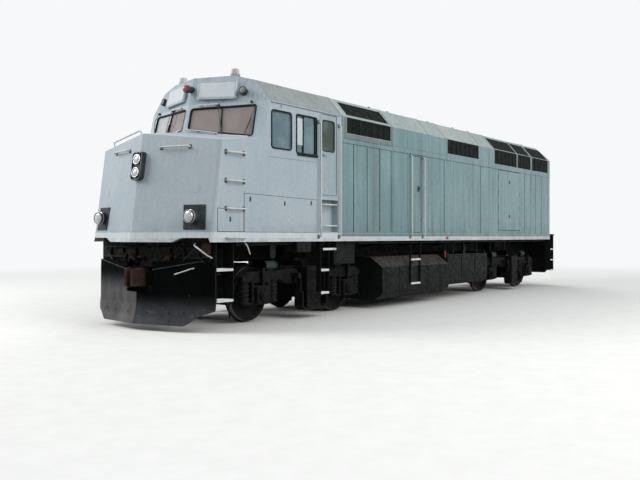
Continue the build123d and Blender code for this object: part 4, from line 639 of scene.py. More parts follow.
NODE_SLOTS = {
    "nose_paint": ["nose_shell", "cab_shell"],
    "roof_paint": ["cab_roof"],
    "hood_roof": ["hood_roof", "roof_fans", "exhaust_stack"],
    "hood_paint": ["hood_wall_left", "hood_wall_right", "end_wall", "engine_door_left",
                   "engine_door_right", "end_door"],
    "door_paint": ["cab_door_left", "cab_door_right"],
    "sill_paint": ["side_sills"],
    "inner_paint": ["cab_bulkhead", "cab_floor", "cab_fittings", "door_hinges"],
    "glass": ["door_pane_left", "door_pane_right"],
    "windscreen": ["cab_glass"],
    "frame_black": ["floor_plate", "main_frame", "cross_members", "draft_gear", "rear_pilot",
                    "nose_steps", "ladders"],
    "tank_black": ["fuel_tank", "equipment_boxes"],
    "plow_black": ["snow_plow"],
    "grille_black": ["grilles", "bevel_grilles"],
    "engine_paint": ["engine_block"],
    "lamp_case": ["head_lamps", "ditch_lamps", "marker_lamps"],
    "beacon_grey": ["roof_beacons"],
    "board_white": ["number_boards"],
    "rail_white": ["handrails"],
    "horn_metal": ["air_horn"],
    "coupler_rust": ["coupler_front", "coupler_rear", "coupler_pins"],
    "truck_black": [f"{end}_{part}" for end in ("front", "rear")
                    for part in ("truck_frame", "axle_boxes", "bolster", "brakes", "motors")],
    "wheel_steel": [f"wheelset_{end}_{axle}" for end in ("front", "rear") for axle in "ab"],
}
for slot_name, node_names in NODE_SLOTS.items():
    for node_name in node_names:
        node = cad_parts[node_name]
        node.data.materials.clear()
        node.data.materials.append(LOOKS[slot_name])


def outline_of(x0, x1, z0, z1):
    """A plain rectangle as an outline."""
    return [(x0, z0), (x1, z0), (x1, z1), (x0, z1)]


def spaced(first, last, count):
    """Evenly spaced values with both ends."""
    return [first + (last - first) * k / (count - 1) for k in range(count)]


# Side panels of the hood as raised sheets with open joints. A joint is (X, half of its gap).
SHEET = 0.004
SHEET_EDGE = 0.0015
BROAD, WIDE, NARROW = 0.013, 0.009, 0.004
LOW_Z = SILL_TOP + 0.022
BELT_Z = RAIL + 3.482
BELT_GAP = 0.007
DOOR_FRAME = (1.155, 1.657)
LOWER_JOINTS = [(CAB_REAR - 0.012, NARROW), (4.0, BROAD), (3.495, BROAD), (3.0, BROAD),
                (2.525, BROAD), (2.44, WIDE), (1.80, NARROW), (DOOR_FRAME[1], NARROW),
                (DOOR_FRAME[0], NARROW), (0.81, NARROW), (0.014, BROAD), (-0.695, NARROW),
                (-2.09, BROAD), (-2.9, NARROW), (-3.24, WIDE), (-4.80, WIDE), (-5.18, BROAD),
                (-5.66, WIDE), (-6.07, BROAD), (-6.58, BROAD), (REAR + 0.012, NARROW)]
FRONT_GRILLE = (2.54, 4.26, RAIL + 3.68)
MID_GRILLE = (-1.98, -0.16, RAIL + 3.648)
REAR_GRILLES = [(-4.582, -2.99), (-5.662, -4.638), (-7.115, -5.768)]
REAR_GRILLE_Z = RAIL + 3.608
ACCESS_DOOR = (-4.80, -3.24, RAIL + 1.765, RAIL + 3.455)
BAND_Z = RAIL + 3.6
# Sheets above the belt as (x0, x1, z0, z1)
UPPER_SHEETS = [(2.44, CAB_REAR, BELT_Z, FRONT_GRILLE[2]),
                (FRONT_GRILLE[1], CAB_REAR, FRONT_GRILLE[2], EAVE),
                (2.44, FRONT_GRILLE[0], FRONT_GRILLE[2], EAVE),
                (-0.12, 2.44, BELT_Z, BAND_Z),
                (1.8, 2.44, BAND_Z, EAVE), (0.81, 1.8, BAND_Z, EAVE), (-0.12, 0.81, BAND_Z, EAVE),
                (MID_GRILLE[0], -0.12, BELT_Z, MID_GRILLE[2]),
                (-2.9, MID_GRILLE[0], BELT_Z, EAVE),
                (REAR, -2.9, BELT_Z, REAR_GRILLE_Z),
                (REAR, REAR_GRILLES[2][0], REAR_GRILLE_Z, EAVE)]
JOINT_T = 0.001
ACCESS_LINE = 0.014
TRIM_EDGE = 0.003
SURROUND_W = 0.07
SURROUND_DROP = 0.105
SURROUND_OUT = 0.016
# Catches of the access door as (x0, x1, height, distance from its upper or lower edge)
CATCH = (-4.06, -3.98, 0.09, 0.35)
RIVET_COLUMNS = (0.65, -0.05, -1.4, -2.6)


def lower_panels():
    """Panels below the belt as (x0, gap0, x1, gap1), less the engine door's opening."""
    return [(x0, gap0, x1, gap1) for (x1, gap1), (x0, gap0) in zip(LOWER_JOINTS, LOWER_JOINTS[1:])
            if x0 != DOOR_FRAME[0]]


def panel(shape, at, x0, x1, z0, z1, thick=SHEET):
    """A raised sheet with its edge taken off."""
    shape.plate(at, outline_of(x0, x1, z0, z1), 0, thick, SHEET_EDGE)


def joint_line(shape, at, x0, x1, z0, z1):
    """The dark bottom of an open joint."""
    shape.plate(at, outline_of(x0, x1, z0, z1), 0, JOINT_T)


def lower_sheets(at, sheets, joints):
    """Panels from the sill to the belt. The access door is thicker, with lines and hinges."""
    low, high = ACCESS_DOOR[2:]
    for x0, gap0, x1, gap1 in lower_panels():
        inner = (x0 + gap0, x1 - gap1)
        if x1 != ACCESS_DOOR[1]:
            panel(sheets, at, *inner, LOW_Z, BELT_Z - BELT_GAP)
            continue
        panel(sheets, at, *inner, low, high, 2 * SHEET)
        panel(sheets, at, *inner, high + ACCESS_LINE, BELT_Z - BELT_GAP)
        panel(sheets, at, *inner, LOW_Z, low - ACCESS_LINE)
        joint_line(joints, at, x0, x1, high, high + ACCESS_LINE)
        joint_line(joints, at, x0, x1, low - ACCESS_LINE, low)
        for x in (x0 + 0.012, x1 - 0.012):
            for z in spaced(low + 0.2, high - 0.2, 4):
                sheets.tube([at(x, z - 0.06, 0.012), at(x, z + 0.06, 0.012)], 0.011, 8)
    for x, gap in LOWER_JOINTS[1:-1]:
        joint_line(joints, at, x - gap, x + gap, LOW_Z, BELT_Z)
    for x0, x1 in ((DOOR_FRAME[1], CAB_REAR), (REAR, DOOR_FRAME[0])):
        joint_line(joints, at, x0, x1, BELT_Z - BELT_GAP, BELT_Z)


def upper_sheets(at, sheets, joints):
    """Sheets above the belt, a rain rail over the engine door and trim at the section joint."""
    for x0, x1, z0, z1 in UPPER_SHEETS:
        panel(sheets, at, x0 + NARROW, x1 - NARROW, z0 + NARROW, z1 - NARROW, 1.5 * SHEET)
        if z1 == EAVE:
            joint_line(joints, at, x0 - NARROW, x0 + NARROW, z0, z1)
    x0, x1 = DOOR_FRAME[0] - 0.03, DOOR_FRAME[1] + 0.03
    sheets.plate(at, outline_of(x0, x1, BELT_Z + 0.006, BELT_Z + 0.03), 0, 0.02, TRIM_EDGE)
    sheets.plate(at, outline_of(2.452, 2.475, LOW_Z, EAVE), 0, 0.012, TRIM_EDGE)


def front_grille_frame(at, frames):
    """Frame of the front grille on three sides, with its bolts."""
    x0, x1, z0 = FRONT_GRILLE
    left, right = x0 - SURROUND_W, x1 + SURROUND_W
    for low_x, high_x, low, high in ((left, right, z0 - SURROUND_DROP, z0 - 0.004),
                                     (x1 + 0.006, right, z0 - 0.002, EAVE - 0.006),
                                     (left, x0 - 0.006, z0 - 0.002, EAVE - 0.006)):
        frames.plate(at, outline_of(low_x, high_x, low, high), 0, SURROUND_OUT, TRIM_EDGE)
    spots = [(x, z0 - 0.075) for x in spaced(x0 - 0.03, x1 + 0.03, 12)]
    spots += [(x, z) for z in spaced(z0 + 0.03, EAVE - 0.06, 4) for x in (x1 + 0.04, x0 - 0.04)]
    for x, z in spots:
        frames.bolt(at, x, z, 0.013, 0.008, SURROUND_OUT)


def hood_rivets(at, rivets):
    """Rivets along the upper and lower edges of the panels, and in columns."""
    for x0, _, x1, _ in lower_panels():
        if x1 - x0 < 0.2:
            continue
        for x in spaced(x0 + 0.05, x1 - 0.05, max(3, int((x1 - x0) / 0.22))):
            rivets.rivet(at, x, LOW_Z + 0.035, 0.008, SHEET)
            if x1 != ACCESS_DOOR[1]:
                rivets.rivet(at, x, BELT_Z - 0.045, 0.008, SHEET)
    for x in RIVET_COLUMNS:
        for z in spaced(LOW_Z + 0.12, BELT_Z - 0.12, 14):
            rivets.rivet(at, x, z, 0.007, SHEET)


def access_catches(at, catches):
    """Two catches on the access door."""
    x0, x1, tall, inset = CATCH
    for z in (ACCESS_DOOR[2] + inset, ACCESS_DOOR[3] - inset):
        catches.plate(at, rounded(x0, x1, z, z + tall, 0.015), 2 * SHEET, 2 * SHEET + 0.008, 0.003)


for side, word in SIDES:
    at = side_face(side)
    sheets, joints, rivets, surrounds, catches = shapes(5)
    lower_sheets(at, sheets, joints)
    upper_sheets(at, sheets, joints)
    front_grille_frame(at, surrounds)
    hood_rivets(at, rivets)
    access_catches(at, catches)
    piece(f"grille_surrounds_{word}", surrounds, "hood_paint", "hood_edge")
    piece(f"hood_sheets_{word}", sheets, "hood_paint")
    piece(f"hood_joints_{word}", joints, "hood_paint", "joint_dark")
    piece(f"hood_fasteners_{word}", rivets, "hood_paint")
    piece(f"hood_latches_{word}", catches, "frame_black", "dark_metal")


# Grille blades: level slats with uprights, in the side openings and up the bevels
UPRIGHT_HALF = 0.006
UPRIGHT_PITCH = 0.28
SIDE_PITCH, BEVEL_PITCH = 0.0185, 0.035
# Depths of a slat's lower and upper edge, below the face
SIDE_DEPTH = (-0.0135, -0.003)
BEVEL_DEPTH = (-0.0135, -0.002)


def slats(shape, at, x0, x1, b0, b1, pitch, out, lean):
    """Thin leaning slats between two heights on a face, with uprights over them."""
    count = int((b1 - b0) / pitch)
    for k in range(count):
        b = b0 + (k + 0.5) * (b1 - b0) / count
        shape.prism(*[[at(x0, b - low, out[0]), at(x1, b - low, out[0]),
                       at(x1, b + high, out[1]), at(x0, b + high, out[1])]
                      for low, high in ((lean, lean), (0.6 * lean, 1.4 * lean))])
    for x in spaced(x0, x1, int((x1 - x0) / UPRIGHT_PITCH) + 2)[1:-1]:
        shape.plate(at, outline_of(x - UPRIGHT_HALF, x + UPRIGHT_HALF, b0, b1), out[0],
                    out[1] + 0.003)


GRILLE_BORDER = 0.012
BEVEL_RISE = SHOULDER[1] - EAVE
BEVEL_TOP = 1 - 0.06 / BEVEL_RISE
BEVEL_SPANS = [(2.56, 4.19, 0.048 / BEVEL_RISE), (-4.57, -3.002, 0.014 / BEVEL_RISE),
               (-5.65, -4.65, 0.014 / BEVEL_RISE), (-7.103, -5.78, 0.014 / BEVEL_RISE)]
SIDE_SPANS = [FRONT_GRILLE, MID_GRILLE] + [(x0, x1, REAR_GRILLE_Z) for x0, x1 in REAR_GRILLES]
for side, word in SIDES:
    at, blades, frames = side_face(side), Shape(), Shape()
    for x0, x1, z0 in SIDE_SPANS:
        x0, x1, z0 = x0 + GRILLE_BORDER, x1 - GRILLE_BORDER, z0 + GRILLE_BORDER
        slats(blades, at, x0, x1, z0, EAVE - 0.004, SIDE_PITCH, SIDE_DEPTH, 0.004)
        frames.band(at, outline_of(x0, x1, z0, EAVE - 0.006), 0.012, -0.002, 0.005)
    slope = bevel_face(side)
    for x0, x1, low in BEVEL_SPANS:
        slats(blades, slope, x0, x1, low + 0.02, BEVEL_TOP - 0.02, BEVEL_PITCH, BEVEL_DEPTH,
              0.006)
        frames.band(slope, outline_of(x0, x1, low + 0.006, BEVEL_TOP - 0.006), 0.012, -0.003, 0.005)
    piece(f"grille_blades_{word}", blades, "grille_black")
    piece(f"grille_frames_{word}", frames, "roof_paint", "hood_roof")


# Roof: straps round the section, hatch plates, lifting eyes and fan guards
def section_line(out):
    """The roof's section from eave to eave, moved outward."""
    lean = math.atan2(SHOULDER[1] - EAVE, HALF - SHOULDER[0])
    low = math.atan2(CROWN - SHOULDER[1], SHOULDER[0] - CROWN_Y)
    mitre = (lean + low) / 2
    half_turn = (lean - low) / 2
    top = low / 2
    line = [(HALF + out / math.sin(lean), EAVE),
            (SHOULDER[0] + out * math.sin(mitre) / math.cos(half_turn),
             SHOULDER[1] + out * math.cos(mitre) / math.cos(half_turn)),
            (CROWN_Y + out * math.tan(top), CROWN + out)]
    return line + [(-y, z) for y, z in reversed(line)]


def strap(shape, x0, x1):
    """A flat strap over the roof between two places along it."""
    inner, outer = section_line(-0.001), section_line(STRAP_T)
    for k in range(len(inner) - 1):
        ring = (inner[k], inner[k + 1], outer[k + 1], outer[k])
        shape.prism([(x0, *p) for p in ring], [(x1, *p) for p in ring])


def hatch(plates, bolts, x0, x1, half):
    """A plate on the flat of the roof with bolts along its two sides."""
    plates.plate(roof, outline_of(x0, x1, -half, half), 0, HATCH_T, 0.003)
    for x in spaced(x0 + 0.04, x1 - 0.04, 5):
        for y in (-half + 0.04, half - 0.04):
            bolts.bolt(roof, x, y, 0.013, 0.009, HATCH_T)


def lifting_eye(shape, x, y):
    """A bent bar on a foot plate."""
    shape.tube([roof(x + dx, y, up) for dx, up in EYE_LINE], 0.011, 8)
    shape.plate(roof, outline_of(x - 0.09, x + 0.09, y - 0.035, y + 0.035), 0, 0.008, 0.002)


def fan_guard(shape, x, radius):
    """Rings of wire over a fan."""
    for ring in spaced(0.15, radius - 0.06, 7):
        turns = (2 * math.pi * k / 40 for k in range(40))
        circle = [roof(x + ring * math.cos(t), ring * math.sin(t), FAN_TOP + 0.003) for t in turns]
        shape.tube(circle, 0.0045, 5, closed=True)


def fan_blades(shape, x, radius):
    """Twisted blades below the guard."""
    r0, r1 = 0.12, radius - 0.05
    for k in range(9):
        turn = 2 * math.pi * k / 9
        lead, trail = (Vector((math.cos(turn + d), math.sin(turn + d), 0))
                       for d in (-BLADE_SPREAD, BLADE_SPREAD))
        spots = [(r0, lead, 0.017), (r1, lead, 0.017), (r1, trail, -0.01), (r0, trail, -0.01)]
        top = [Vector((x, 0, CROWN)) + way * r + Vector((0, 0, up)) for r, way, up in spots]
        shape.prism([p - Vector((0, 0, 0.004)) for p in top], top)


STRAP_T = 0.008
ROOF_STRAPS = [(4.385, 4.43), (2.42, 2.475), (0.79, 0.815), (-0.125, -0.08), (-2.11, -2.065),
               (-2.95, -2.905), (-5.73, -5.69)]
# Hatch plates as (x0, x1, half width)
HATCHES = ((-2.82, -2.2, 0.6), (-1.95, -1.1, 0.62), (-1.0, -0.2, 0.62), (1.45, 2.08, 0.55))
HATCH_T = 0.009
EYE_PLACES = [(x, y) for x in (2.15, 1.35, -0.65, -2.05, -3.0, -7.0) for y in (-0.72, 0.72)]
# Lifting eye's bar as (distance along the roof, height)
EYE_LINE = ((-0.055, 0), (-0.055, 0.03), (-0.035, 0.05), (0.035, 0.05), (0.055, 0.03), (0.055, 0))
# Fans as (X, radius)
FANS = [(-3.78, 0.59), (-5.12, 0.59), (-6.42, 0.59), (3.8, 0.48), (2.7, 0.48)]
FAN_TOP = 0.07
BLADE_SPREAD = 0.16
roof = flat_face((0, 0, CROWN), (1, 0, 0), (0, 1, 0), (0, 0, 1))
straps, plates, roof_bolts, guards, blades = shapes(5)
for x0, x1 in ROOF_STRAPS:
    strap(straps, x0, x1)
for x0, x1, half in HATCHES:
    hatch(plates, roof_bolts, x0, x1, half)
for x, y in EYE_PLACES:
    lifting_eye(plates, x, y)
for x, radius in FANS:
    fan_guard(guards, x, radius)
    fan_blades(blades, x, radius)
piece("roof_straps", straps, "roof_paint", "hood_roof")
piece("roof_plates", plates, "roof_paint", "hood_roof")
piece("roof_bolts", roof_bolts, "roof_paint", "hood_roof")
piece("fan_guards", guards, "roof_paint", "hood_roof")
piece("fan_blades", blades, "roof_paint", "dark_metal")


# Windows: rubber gaskets, the sliding window's frame, wipers and trim
SCREEN = [(0.08, RAIL + 3.545), (HALF - 0.22, RAIL + 3.375), (HALF - 0.24, RAIL + 3.95),
          (0.07, RAIL + 3.935)]
SCREEN_BAR = [(0.652, RAIL + 3.95), (0.668, RAIL + 3.95), (0.732, RAIL + 3.45),
              (0.716, RAIL + 3.45)]
SCREEN_SILL = [(0.66, RAIL + 3.434), (1.25, RAIL + 3.374), (1.25, RAIL + 3.352),
               (0.66, RAIL + 3.412)]
# Wipers as pivot, elbow and tip, each (Y, Z)
WIPERS = (((0.6, 4.0), (0.66, 3.8), (0.72, 3.56)), ((1.216, 4.03), (1.31, 3.88), (1.214, 3.53)))
BROW_Z = RAIL + 3.985
LEDGE_Z = RAIL + 3.54
FRONT_PANE = (6.06, 6.6, RAIL + 3.19, RAIL + 3.845)
SLIDE_PANE = (5.275, 5.9, RAIL + 3.145, RAIL + 3.865)
SLIDE_MEET = 5.7
PANE_ROUND = 0.045
GUTTER = (4.49, 6.63, RAIL + 3.996, RAIL + 4.012)
GUTTER_DROP = (6.33, 6.352, RAIL + 3.93, RAIL + 3.998)
gaskets, wipers, trim, bars, sash, shades, pale = shapes(7)


def windscreen_trim(at):
    """Gaskets, lining, middle bar and bright sill of a windscreen."""
    screen = round_corners(SCREEN, 0.05)
    gaskets.band(at, grown(screen, -0.008), 0.022, -0.004, 0.009)
    trim.band(at, grown(screen, 0.016), 0.022, -0.002, 0.004)
    gaskets.band(at, grown(screen, -0.016), 0.01, -0.016, -0.002)
    bars.plate(at, SCREEN_BAR, -0.02, 0.004, 0.002)
    pale.plate(at, SCREEN_SILL, 0, 0.02, 0.002)


def wiper(at, pivot, elbow, tip):
    """A boss on the brow, an arm and its blade."""
    wipers.turned(at(*pivot, 0), at(0, 0, 1) - at(0, 0, 0),
                  [(0, 0.024), (0.03, 0.024), (0.042, 0.016), (0.05, 0.008)], 14)
    wipers.tube([at(*pivot, 0.04), at(*elbow, 0.05), at(*tip, 0.035)], 0.0065, 6)
    away = (Vector(tip) - Vector(elbow)).normalized()
    ends = (Vector(tip) - away * 0.2, Vector(tip) + away * 0.12)
    wipers.tube([at(*end, 0.016) for end in ends], 0.008, 6)


def screen_rail(at, feet, foot_size, start, end, out, radius):
    """A white bar held off the cab's front by two feet."""
    for y, z in feet:
        wipers.tube([at(y, z, 0), at(y, z, out)], *foot_size)
    pale.tube([at(*start, out), at(*end, out)], radius, 8)


def side_windows(at):
    """Gasket of the front pane, and the sliding window with its sill, stiles and shade."""
    gaskets.band(at, rounded(*FRONT_PANE, PANE_ROUND), 0.028, -0.004, 0.011)
    x0, x1, z0, z1 = SLIDE_PANE
    sash.band(at, rounded(x0 + 0.012, x1 - 0.012, z0 + 0.012, z1 - 0.012, 0.02), 0.022, -0.012,
              0.016)
    sash.plate(at, outline_of(x0 - 0.02, x1 - 0.03, z0 - 0.045, z0 + 0.005), 0, 0.03, 0.006)
    sash.plate(at, outline_of(SLIDE_MEET - 0.028, SLIDE_MEET, z0 + 0.01, z1 - 0.01), -0.018, 0.006,
               0.003)
    shades.plate(at, outline_of(SLIDE_MEET + 0.002, x1 - 0.02, z0 + 0.15, z1 - 0.06), -0.016,
                 -0.006, 0.002)
    sash.plate(at, outline_of(x0 + 0.012, x0 + 0.055, z0 + 0.01, z1 - 0.01), -0.016, 0.008, 0.003)


for side, word in SIDES:
    at = cab_face(side)
    windscreen_trim(at)
    for spots in WIPERS:
        wiper(at, *spots)
    screen_rail(at, [(y, BROW_Z) for y in (0.25, 0.55)], (0.012, 6), (0.21, BROW_Z - 0.005),
                (0.59, BROW_Z + 0.004), 0.045, 0.014)
    screen_rail(at, [(y, LEDGE_Z - 0.15 * y) for y in (0.3, 0.64)], (0.014, 8),
                (0.06, LEDGE_Z - 0.009), (0.69, LEDGE_Z - 0.103), 0.06, 0.011)
    at = side_face(side)
    side_windows(at)
    # Rain gutter above the windows and the cab door, with a drop at its front
    trim.plate(at, outline_of(*GUTTER), 0, 0.024, 0.004)
    trim.plate(at, outline_of(*GUTTER_DROP), 0, 0.02, 0.003)
piece("window_gaskets", gaskets, "frame_black", "rubber")
piece("window_sashes", sash, "frame_black", "rubber")
piece("window_shades", shades, "board_white")
piece("screen_bars", bars, "frame_black", "rubber")
piece("screen_wipers", wipers, "frame_black", "dark_metal")
piece("cab_trim", trim, "nose_paint")
piece("screen_rails", pale, "rail_white")

DOOR_PANE = (4.68, 5.06, RAIL + 3.265, RAIL + 3.85)
LEAF_IN = 0.006
for side, word in SIDES:
    at = side_face(side, HALF - LEAF_IN)
    seal, lining = shapes(2)
    seal.band(at, rounded(*DOOR_PANE, PANE_ROUND), 0.02, -0.004, 0.004)
    lining.band(at, grown(rounded(*DOOR_PANE, PANE_ROUND), 0.02), 0.016, -0.002, 0.002)
    piece(f"door_seal_{word}", seal, "frame_black", "rubber", f"cab_door_{word}")
    piece(f"door_lining_{word}", lining, "door_paint", body=f"cab_door_{word}")


# Cab and nose skin: hatch sheets, seams, catches and the feet of grab irons and handrails
SKIN_T = 0.005
HATCH_LOW = SILL_TOP + 0.012
HATCH = [(7.338, HATCH_LOW), (7.338, RAIL + 2.325), (5.262, RAIL + 2.285), (5.262, HATCH_LOW)]
SMALL_HATCH = (7.352, 7.985, HATCH_LOW, RAIL + 2.05)
HINGE_X = (5.32, 7.28)
HINGE_Z = SILL_TOP + 0.014
# Latches as (X, Z)
LATCHES = ((7.187, 2.255), (6.246, 2.21), (5.448, 2.246), (7.688, 1.9))
# Seams as (x0, x1, z0, z1)
CAB_SEAMS = ((5.25, 6.72, RAIL + 3.008, RAIL + 3.012), (5.168, 5.172, SILL_TOP, RAIL + 3.96),
             (4.428, 4.434, SILL_TOP, EAVE))
DOOR_BEAD = (4.596, 5.14, RAIL + 2.388, RAIL + 3.98)
GRAB_FEET = [(x, RAIL + z) for x in (7.345, 7.79) for z in (3.0, 2.52, 2.05)]
NOSE_FEET = [(y, RAIL + 3.1) for y in (0.41, 0.96)]
# Handrails as (X, height of the upper foot above the rail)
HANDRAILS = ((5.215, 3.8), (4.535, 3.8), (1.7, 3.44), (1.11, 3.44))
HANDRAIL_LOW = RAIL + 1.575
NOSE_PATCH = (1.155, RAIL + 2.39, 0.075)
skins, seams, catches, feet = shapes(4)


def hatches(at):
    """The two hatch sheets with their seams, and the piano hinge at the foot of the big one."""
    for line in (HATCH, rounded(*SMALL_HATCH, 0.02)):
        skins.plate(at, grown(line, -0.004), 0, SKIN_T, 0.002)
        seams.band(at, grown(line, -0.004), 0.008, 0, JOINT_T)
    for x in spaced(*HINGE_X, 22):
        skins.tube([at(x - 0.04, HINGE_Z, 0.006), at(x + 0.04, HINGE_Z, 0.006)], 0.006, 6)


def latch(at, x, z):
    """A small plate with its turning knob."""
    catches.plate(at, rounded(x - 0.018, x + 0.018, z - 0.045, z + 0.04, 0.012), SKIN_T, 0.011,
                  0.002)
    catches.turned(at(x, z, SKIN_T), at(0, 0, 1) - at(0, 0, 0),
                   [(0, 0.013), (0.014, 0.013), (0.017, 0.009)], 12)


def foot(at, a, b, half, thick, base=0.0, bolts=(), radius=0.009):
    """The foot of a rail. bolts are distances from its middle."""
    feet.plate(at, rounded(a - half[0], a + half[0], b - half[1], b + half[1], 0.02), base,
               base + thick, 0.002)
    for da, db in bolts:
        feet.bolt(at, a + da, b + db, radius, 0.007, base + thick)


for side, _ in SIDES:
    at = side_face(side)
    hatches(at)
    for x, z in LATCHES:
        latch(at, x, z)
    for seam in CAB_SEAMS:
        seams.plate(at, outline_of(*seam), 0, JOINT_T)
    skins.band(at, rounded(*DOOR_BEAD, 0.045), 0.014, 0, 0.006)
    for x, z in GRAB_FEET:
        foot(at, x, z, (0.03, 0.045), 0.007, bolts=((0, -0.03), (0, 0.03)))
    for x, top in HANDRAILS:
        for z, base in ((HANDRAIL_LOW, SILL_OUT), (RAIL + top, 0)):
            foot(at, x, z, (0.035, 0.04), 0.008, base, ((-0.024, 0), (0.024, 0)), 0.008)
    face = nose_face(side)
    for y, z in NOSE_FEET:
        foot(face, y, z, (0.03, 0.04), 0.007)
    # Round cover patch on the nose and rivets along its foot
    skins.plate(face, arc(*NOSE_PATCH, 0, 345, 22), 0, 0.003, 0.001)
    for y in spaced(0.08, 1.42, 12):
        skins.rivet(face, y, SILL_TOP + 0.02, 0.008)
piece("nose_sheets", skins, "nose_paint")
piece("nose_seams", seams, "nose_paint", "joint_dark")
piece("nose_latches", catches, "frame_black", "dark_metal")
piece("grab_feet", feet, "frame_black", "foot_metal")


# Lamps
LAMP_AT = Vector((8.375, 0, RAIL + 2.8))
LAMP_R = 0.09
DITCH_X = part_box("ditch_lamps")[1].x
DITCH_Y, DITCH_Z = 1.18, RAIL + 1.915
DITCH_R = 0.108
DITCH_BOLTS = ((1.03, 1.76), (1.03, 2.1), (1.36, 1.76), (1.33, 2.1))
REAR_LAMP_Y, REAR_LAMP_Z = 0.11, RAIL + 3.76
MARKER_AT = (1.035, EAVE + 0.185)
MARKER_TURN = math.radians(18)
RED_AT = (7.24, 0, EAVE + 0.29)
BEACONS = ((6.69, 0.74), (6.69, -0.64))
lenses, rims, cases, red_glass, smoke, beacon_tops = shapes(6)


def round_lamp(glass, rim, centre, axis, radius):
    """A domed lens in a bright rim with a clamp ring."""
    glass.turned(centre, axis, [(-0.004, radius * 0.86), (0.006, radius * 0.86),
                                (0.016, radius * 0.7), (0.023, radius * 0.42), (0.026, 0.0)], 32)
    rim.turned(centre, axis, [(-0.012, radius), (0.012, radius), (0.018, radius * 0.97),
                              (0.018, radius * 0.88), (0.0, radius * 0.86)], 32)


def head_lamps():
    """Two lamps, one above the other, in a bolted case on the crease of the nose."""
    axis, up = Vector((1, 0, NOSE_LEAN)).normalized(), Vector((-NOSE_LEAN, 0, 1))
    for rise in (0.115, -0.115):
        round_lamp(lenses, rims, LAMP_AT + up * rise + axis * 0.014, axis, LAMP_R)
    face = flat_face(LAMP_AT, (0, 1, 0), up.normalized(), axis)
    cases.band(face, rounded(-0.107, 0.107, -0.228, 0.228, 0.04), 0.016, -0.004, 0.022)
    for a in (-0.095, 0.095):
        for b in (-0.21, 0.0, 0.21):
            cases.bolt(face, a, b, 0.008, 0.006)


def ditch_lamp(side):
    """A lamp low on the nose, with its collar and the bolts of its box."""
    centre = Vector((DITCH_X, side * DITCH_Y, DITCH_Z))
    round_lamp(lenses, rims, centre, (1, 0, 0), DITCH_R)
    rims.turned(centre - Vector((0.06, 0, 0)), (1, 0, 0),
                [(0, DITCH_R), (0.004, DITCH_R + 0.006), (0.016, DITCH_R + 0.006),
                 (0.02, DITCH_R)], 32)
    for y, z in DITCH_BOLTS:
        cases.bolt(nose_face(side), y, z, 0.011, 0.009, 0.0125)


def marker_lamp(side):
    """A lamp over the windscreen that faces out and up, with the stud of its lens."""
    across, up = math.cos(MARKER_TURN), math.sin(MARKER_TURN)
    axis = Vector((across ** 2, side * up * across, up))
    centre = cab_face(side)(*MARKER_AT) + axis * 0.074
    round_lamp(smoke, cases, centre, axis, 0.071)
    smoke.turned(centre, axis, [(0.016, 0.026), (0.03, 0.024), (0.033, 0.01)], 20)


head_lamps()
for side, _ in SIDES:
    ditch_lamp(side)
    round_lamp(lenses, rims, (REAR - 0.05, side * REAR_LAMP_Y, REAR_LAMP_Z), (-1, 0, 0), LAMP_R)
    marker_lamp(side)
red_glass.turned(RED_AT, (1, 0, 0), [(-0.03, 0.066), (0.01, 0.064), (0.035, 0.045),
                                     (0.045, 0.02), (0.047, 0)], 28)
cases.turned(RED_AT, (-1, 0, 0), [(0.0, 0.075), (0.05, 0.075), (0.09, 0.06), (0.14, 0.058)], 28)
for x, y in BEACONS:
    beacon_tops.turned((x, y, CROWN + 0.05), (0, 0, 1), [(0, 0.072), (0.01, 0.074), (0.076, 0.071),
                                                         (0.09, 0.06), (0.097, 0.03)], 28)
piece("beacon_tops", beacon_tops, "lamp_metal", "beacon_lens")
piece("lamp_lenses", lenses, "lamp_metal", "lens")
piece("lamp_rims", rims, "lamp_metal")
piece("lamp_frames", cases, "frame_black", "dark_metal")
piece("red_lamp_lens", red_glass, "lamp_metal", "red_lens")
piece("marker_lenses", smoke, "lamp_metal", "smoke_lens")

# Number boards: a plain face set in a rim
BOARD = [(0.18, EAVE + 0.09), (0.915, EAVE + 0.065), (0.87, EAVE + 0.405), (0.15, EAVE + 0.42)]
BOARD_OUT = 0.062 / math.sqrt(1 + CAB_SLOPE ** 2 + CAB_LEAN ** 2)
RIM_OUT = BOARD_OUT + 0.006
board_rims, board_faces = shapes(2)
for side, _ in SIDES:
    at = cab_face(side)
    line = round_corners(grown(BOARD, -0.026), 0.012)
    board_rims.band(at, line, 0.024, BOARD_OUT - 0.004, RIM_OUT)
    board_faces.plate(at, line, BOARD_OUT - 0.004, BOARD_OUT + 0.002)
    for y, z in grown(round_corners(BOARD, 0.03, 1), -0.015):
        board_rims.bolt(at, y, z, 0.007, 0.005, RIM_OUT)
piece("board_rims", board_rims, "nose_paint")
piece("board_faces", board_faces, "board_white")


# Steps: white treads with a turned-down nose, as (x0, x1, y0, y1, heights)
TREADS = [(7.52, 7.95, HALF - 0.31, HALF - 0.07, (RAIL + 0.512, RAIL + 1.032)),
          (4.835, 5.125, HALF - 0.12, HALF - 0.01, (RAIL + 0.492, RAIL + 0.937)),
          (4.59, 5.06, HALF - 0.12, HALF - 0.01, (RAIL + 1.347,)),
          (1.18, 1.64, HALF - 0.05, HALF - 0.005, (RAIL + 0.507, RAIL + 1.062)),
          (-7.87, -7.57, HALF - 0.25, HALF - 0.08, (RAIL + 0.488, RAIL + 0.829, RAIL + 1.177))]
TREAD_NOSE = 0.036
TREAD_EDGE = 0.014
